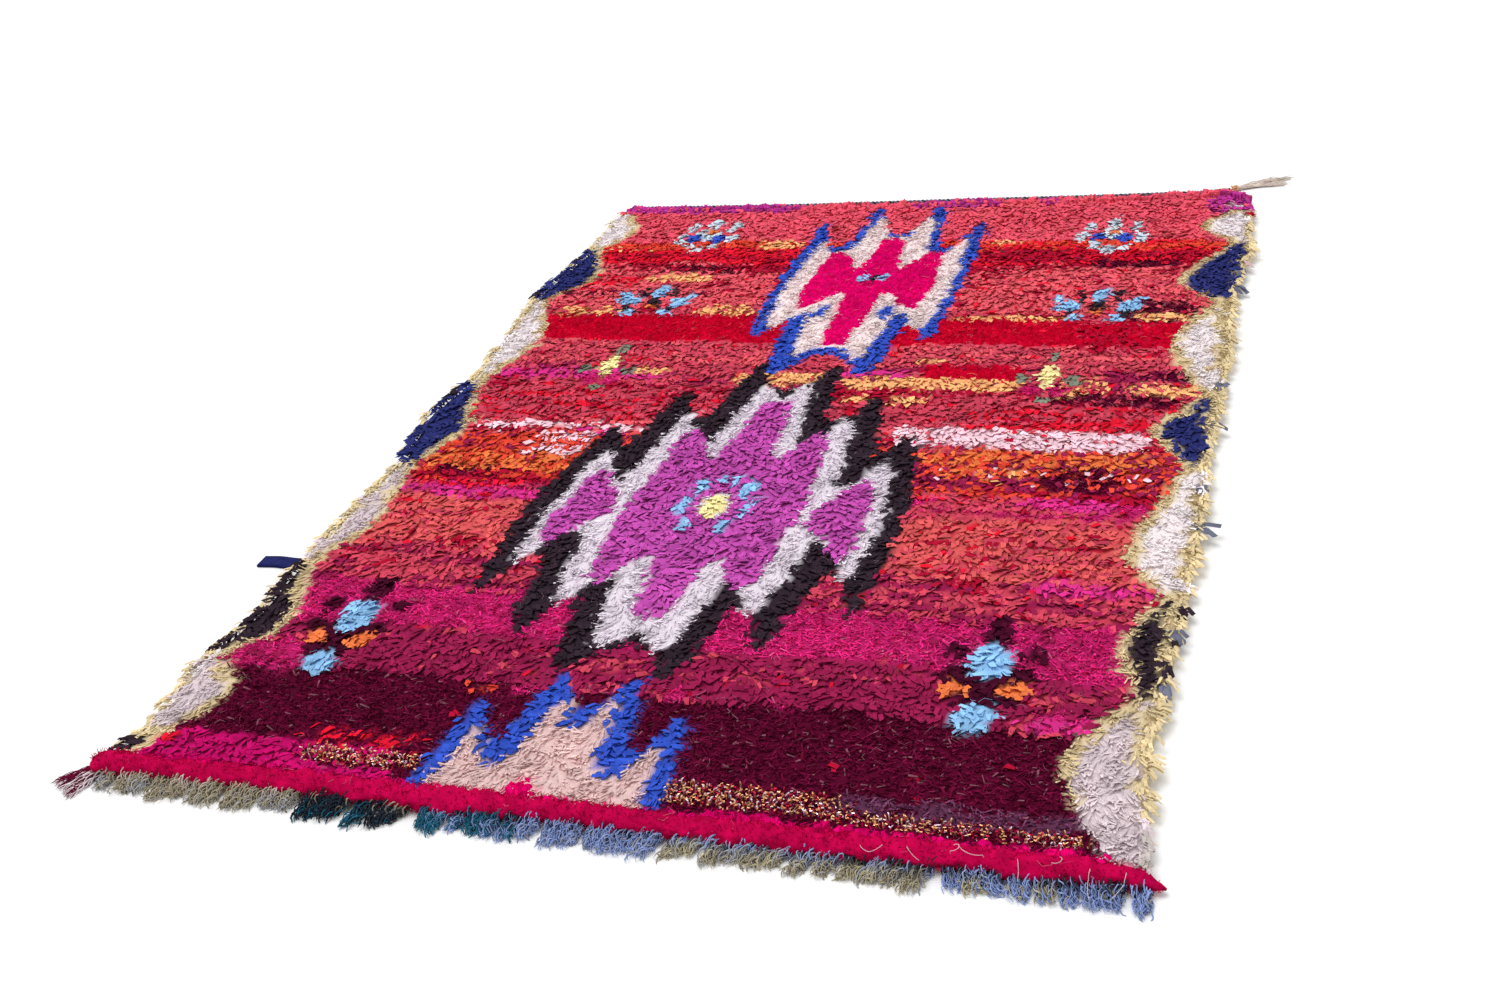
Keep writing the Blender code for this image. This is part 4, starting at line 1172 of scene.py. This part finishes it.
def buildFringe():
    steps = fringe["steps"]
    for number, (word, start, end, locks, reach, lean, rootNames, tipNames) in enumerate(fringe["runs"]):
        rng = np.random.default_rng(80 + number)
        count = locks * fringe["strandsPerLock"]
        lock = np.repeat(np.arange(locks), fringe["strandsPerLock"])
        pitch = (end - start) / locks
        offset = rng.uniform(-0.52, 0.52, count) * pitch
        rootX = start + (lock + 0.5) * pitch + offset
        lockReach = reach * rng.uniform(0.80, 1.06, locks)[lock] * rng.uniform(0.72, 1.02, count)
        lockLean = lean * rng.uniform(0.3, 1.7, locks)[lock] + rng.normal(0, 0.003, count)
        heading = unit(np.stack([lockLean, -reach * np.ones(count), np.zeros(count)], 1))
        rootY = np.full(count, outline["nearY"] + 0.006) - rng.uniform(0, 0.008, count)
        rootZ = rng.uniform(0.004, 0.0175, count)
        bundle = (fringe["gather"] * offset, fringe["wave"] * rng.normal(0, 1, locks)[lock])
        paths, across = strandPaths(rootX, rootY, rootZ, heading, lockReach, fringe["curl"], steps, rng,
                                    bundle=bundle)
        paths[:, :, 2] = np.minimum(paths[:, :, 2], fringe["top"])
        radius = fringe["radius"] * rng.uniform(0.8, 1.4, count)
        atRoot, atTip = mixedYarns(rootNames, count, rng, lock), mixedYarns(tipNames, count, rng, lock)
        blend = np.clip(np.linspace(-0.6, 1.6, steps), 0, 1)[None, :, None]
        colours = atRoot[:, None] * (1 - blend) + atTip[:, None] * blend
        addStrands(f"fringe_yarn_{word}", paths, across, radius, colours, f"yarn_{word}", f"fringe_{word}")


buildFringe()
print("fringe laid")


# Rope along the far edge: two plies turned round each other
rope = {"start": -0.722, "end": 0.702, "ply": 0.0023, "turn": 0.0021, "lay": 0.020, "step": 0.0030,
        "height": 0.0045, "beyond": 0.0048, "shades": (0.45, 1.6)}


def ropeLine(x):
    return np.stack([x, farY(x, "weaveY") + rope["beyond"], np.full_like(x, rope["height"])], -1)


def buildRope():
    rng = np.random.default_rng(95)
    x = np.linspace(rope["start"], rope["end"], int((rope["end"] - rope["start"]) / rope["step"]) + 1)
    line = ropeLine(x)
    ahead = unit(np.gradient(line, axis=0))
    side = unit(np.cross(np.array([0, 0, 1.0]), ahead))
    angle = math.tau * (x - rope["start"]) / rope["lay"]
    plies = []
    for half in (0.0, math.pi):
        swing = rope["turn"] * np.cos(angle + half)[:, None] * side
        lift = rope["turn"] * np.sin(angle + half)[:, None] * np.array([0, 0, 1.0])
        plies.append(line + swing + lift)
    paths = np.array(plies)
    radii = np.full(paths.shape[:2], rope["ply"])
    points, faceSets = sweepMany(paths, radii, radii, side[None] * np.ones((2, 1, 1)), 6)
    tones = yarnColour("slate") * np.array(rope["shades"])[:, None, None]
    tones = tones * rng.uniform(0.8, 1.15, (2, len(x), 1))
    piece = addMesh("twisted_rope", points, faceSets, np.repeat(tones[:, :, None], 6, axis=2).reshape(-1, 3))
    finishPiece(piece, crinkledYarn, "rope_twist", "edge_rope")


buildRope()


# Knot: one yarn wound over and under itself
knot = {"winds": 2, "crossings": 3, "ring": 0.0056, "swell": 0.0026, "rise": 0.0034, "yarn": 0.0021,
        "points": 90}


def boxMiddle(node):
    low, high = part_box(node)
    return np.array([(low[k] + high[k]) / 2 for k in range(3)])


def buildKnot():
    turn = np.linspace(0, math.tau, knot["points"] + 1)
    radius = knot["ring"] + knot["swell"] * np.cos(knot["crossings"] * turn)
    path = np.stack([radius * np.cos(knot["winds"] * turn), radius * np.sin(knot["winds"] * turn),
                     knot["rise"] * np.sin(knot["crossings"] * turn)], 1)
    path = (path + boxMiddle("corner_knot"))[None]
    radii = np.full(path.shape[:2], knot["yarn"])
    away = unit(path - boxMiddle("corner_knot"))
    points, faceSets = sweepMany(path, radii, radii, away, 6)
    colours = np.repeat(yarnColour("knotPeach")[None], len(points), 0)
    piece = addMesh("wound_knot", points, faceSets, colours)
    finishPiece(piece, crinkledYarn, "warp_peach", "corner_knot")


buildKnot()


# Loose warp ends: the far right tassel and the near left one
tassels = {
    "far": {"node": "far_tassel", "slot": "warp_beige", "heading": 27.0, "reach": 0.148, "spread": 0.005,
            "fan": 0.0, "flare": 0.034, "bend": 0.010, "count": 130, "height": 0.0072, "seed": 31,
            "yarns": ("beige", "beige", "warpCream")},
    "near": {"node": "warp_tassel", "slot": "warp_burgundy", "heading": 237.0, "reach": 0.062,
             "spread": 0.026, "fan": 0.30, "flare": 0.0, "bend": 0.0, "count": 90, "height": 0.0075,
             "seed": 37, "yarns": ("burgundy", "burgundy", "white")},
}
looseEnd = {"radius": 0.0008, "curl": 0.0022, "steps": 10, "fall": 0.8}


def tasselRoot(look):
    if look["node"] == "far_tassel":
        return boxMiddle("corner_knot")[:2]
    low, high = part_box(look["node"])
    return np.array([high[0] - 0.013, high[1] + 0.004])


def buildTassel(word):
    look = tassels[word]
    rng = np.random.default_rng(look["seed"])
    count = look["count"]
    along = math.radians(look["heading"])
    root = tasselRoot(look)
    sideways = np.array([-math.sin(along), math.cos(along)])
    offset = rng.uniform(-0.5, 0.5, count)
    forked = 0.5 * np.sign(offset) * np.abs(2 * offset) ** 0.5
    rootXY = root + sideways * (offset * look["spread"])[:, None]
    turn = along + offset * 2 * look["fan"] + rng.normal(0, 0.05, count)
    heading = levelDirections(turn)[0]
    reach = look["reach"] * rng.uniform(0.75, 1.02, count) * np.where(look["flare"] * offset < 0, 0.82, 1.0)
    rootZ = rng.uniform(0.003, look["height"], count)
    bundle = (-look["flare"] * forked, np.full(count, look["bend"]))
    paths, across = strandPaths(*rootXY.T, rootZ, heading, reach, looseEnd["curl"], looseEnd["steps"], rng,
                                looseEnd["fall"], bundle)
    paths[:, :, 2] = np.minimum(paths[:, :, 2], look["height"] + 0.001)
    colours = mixedYarns(look["yarns"], count, rng)
    radius = np.full(count, looseEnd["radius"])
    addStrands(f"loose_ends_{word}", paths, across, radius, colours, look["slot"], look["node"])


buildTassel("far")
buildTassel("near")
print("rope, knot and tassels tied")


# Side tab: a rag strip folded back on itself
tab = {"y": -0.575, "width": 0.028, "reach": 0.084, "cloth": 0.0024, "gap": 0.0010, "arc": 10, "lengths": 14,
       "across": 6, "ripple": 0.0012}


def tabProfile():
    outer, inner = tab["cloth"] + tab["gap"] / 2, tab["gap"] / 2
    turnX = -tab["reach"] + outer
    arc = np.pi * np.arange(tab["arc"] + 1) / tab["arc"]
    run = np.linspace(0, turnX, tab["lengths"] + 1)[:-1]
    outside = np.concatenate([np.stack([run, 0 * run], 1),
                              np.stack([turnX - outer * np.sin(arc), outer - outer * np.cos(arc)], 1),
                              np.stack([run[::-1], 0 * run + 2 * outer], 1)])
    inside = np.concatenate([np.stack([run, 0 * run + outer - inner], 1),
                             np.stack([turnX - inner * np.sin(arc), outer - inner * np.cos(arc)], 1),
                             np.stack([run[::-1], 0 * run + outer + inner], 1)])
    return outside, inside


def buildTab():
    outside, inside = tabProfile()
    steps, wide = len(outside), tab["across"] + 1
    root = float(sideX(tab["y"], "left")) - 0.0003
    share = np.linspace(-0.5, 0.5, wide)
    layers = []
    for profile in (outside, inside):
        x = root + profile[:, 0][:, None] + 0 * share
        y = tab["y"] + share * tab["width"] + tab["ripple"] * np.sin(profile[:, 0][:, None] / 0.011)
        z = profile[:, 1][:, None] + 0 * share
        layers.append(np.stack([x, y, z], -1).reshape(-1, 3))
    points = np.vstack(layers)
    navy = yarnColour("navy") * 0.7 * np.random.default_rng(3).uniform(0.7, 1.2, (len(points), 1))
    piece = addMesh("rag_tab", points, sheetFaces(steps, wide), navy)
    finishPiece(piece, wovenGround, "rag_navy", "side_tab")


buildTab()
print("tab folded")


# Floor, light and background
studio = {"floor": 40.0, "floorColour": 0.93, "world": 0.74, "sun": 1.60, "sunAngle": 42.0,
          "sunFrom": (-0.9, 0.3, 3.0)}


def buildStudio():
    bpy.ops.object.select_all(action="DESELECT")
    bpy.ops.mesh.primitive_plane_add(size=studio["floor"], location=(0, 0, 0))
    floor = bpy.context.object
    floor.name = "studio_floor"
    material = bpy.data.materials.new("paleFloor")
    material.use_nodes = True
    shader = material.node_tree.nodes["Principled BSDF"]
    shader.inputs["Base Color"].default_value = (*[studio["floorColour"]] * 3, 1)
    shader.inputs["Roughness"].default_value = 0.9
    shader.inputs["Specular IOR Level"].default_value = 0.1
    floor.data.materials.append(material)
    world = bpy.data.worlds.new("studioWorld")
    world.use_nodes = True
    nodes, links = world.node_tree.nodes, world.node_tree.links
    nodes["Background"].inputs["Strength"].default_value = studio["world"]
    nodes["Background"].inputs["Color"].default_value = (1, 1, 1, 1)
    backdrop = nodes.new("ShaderNodeBackground")
    backdrop.inputs["Color"].default_value = (1, 1, 1, 1)
    ray = nodes.new("ShaderNodeLightPath")
    choice = nodes.new("ShaderNodeMixShader")
    links.new(ray.outputs["Is Camera Ray"], choice.inputs[0])
    links.new(nodes["Background"].outputs[0], choice.inputs[1])
    links.new(backdrop.outputs[0], choice.inputs[2])
    links.new(choice.outputs[0], nodes["World Output"].inputs["Surface"])
    bpy.context.scene.world = world
    light = bpy.data.lights.new("softKey", "SUN")
    light.energy, light.angle = studio["sun"], math.radians(studio["sunAngle"])
    key = bpy.data.objects.new("softKey", light)
    bpy.context.scene.collection.objects.link(key)
    key.location = studio["sunFrom"]
    key.rotation_euler = (Vector((0, 0, 0)) - key.location).to_track_quat("-Z", "Y").to_euler()
    bpy.context.scene.view_settings.view_transform = "Standard"


buildStudio()
print("studio lit")
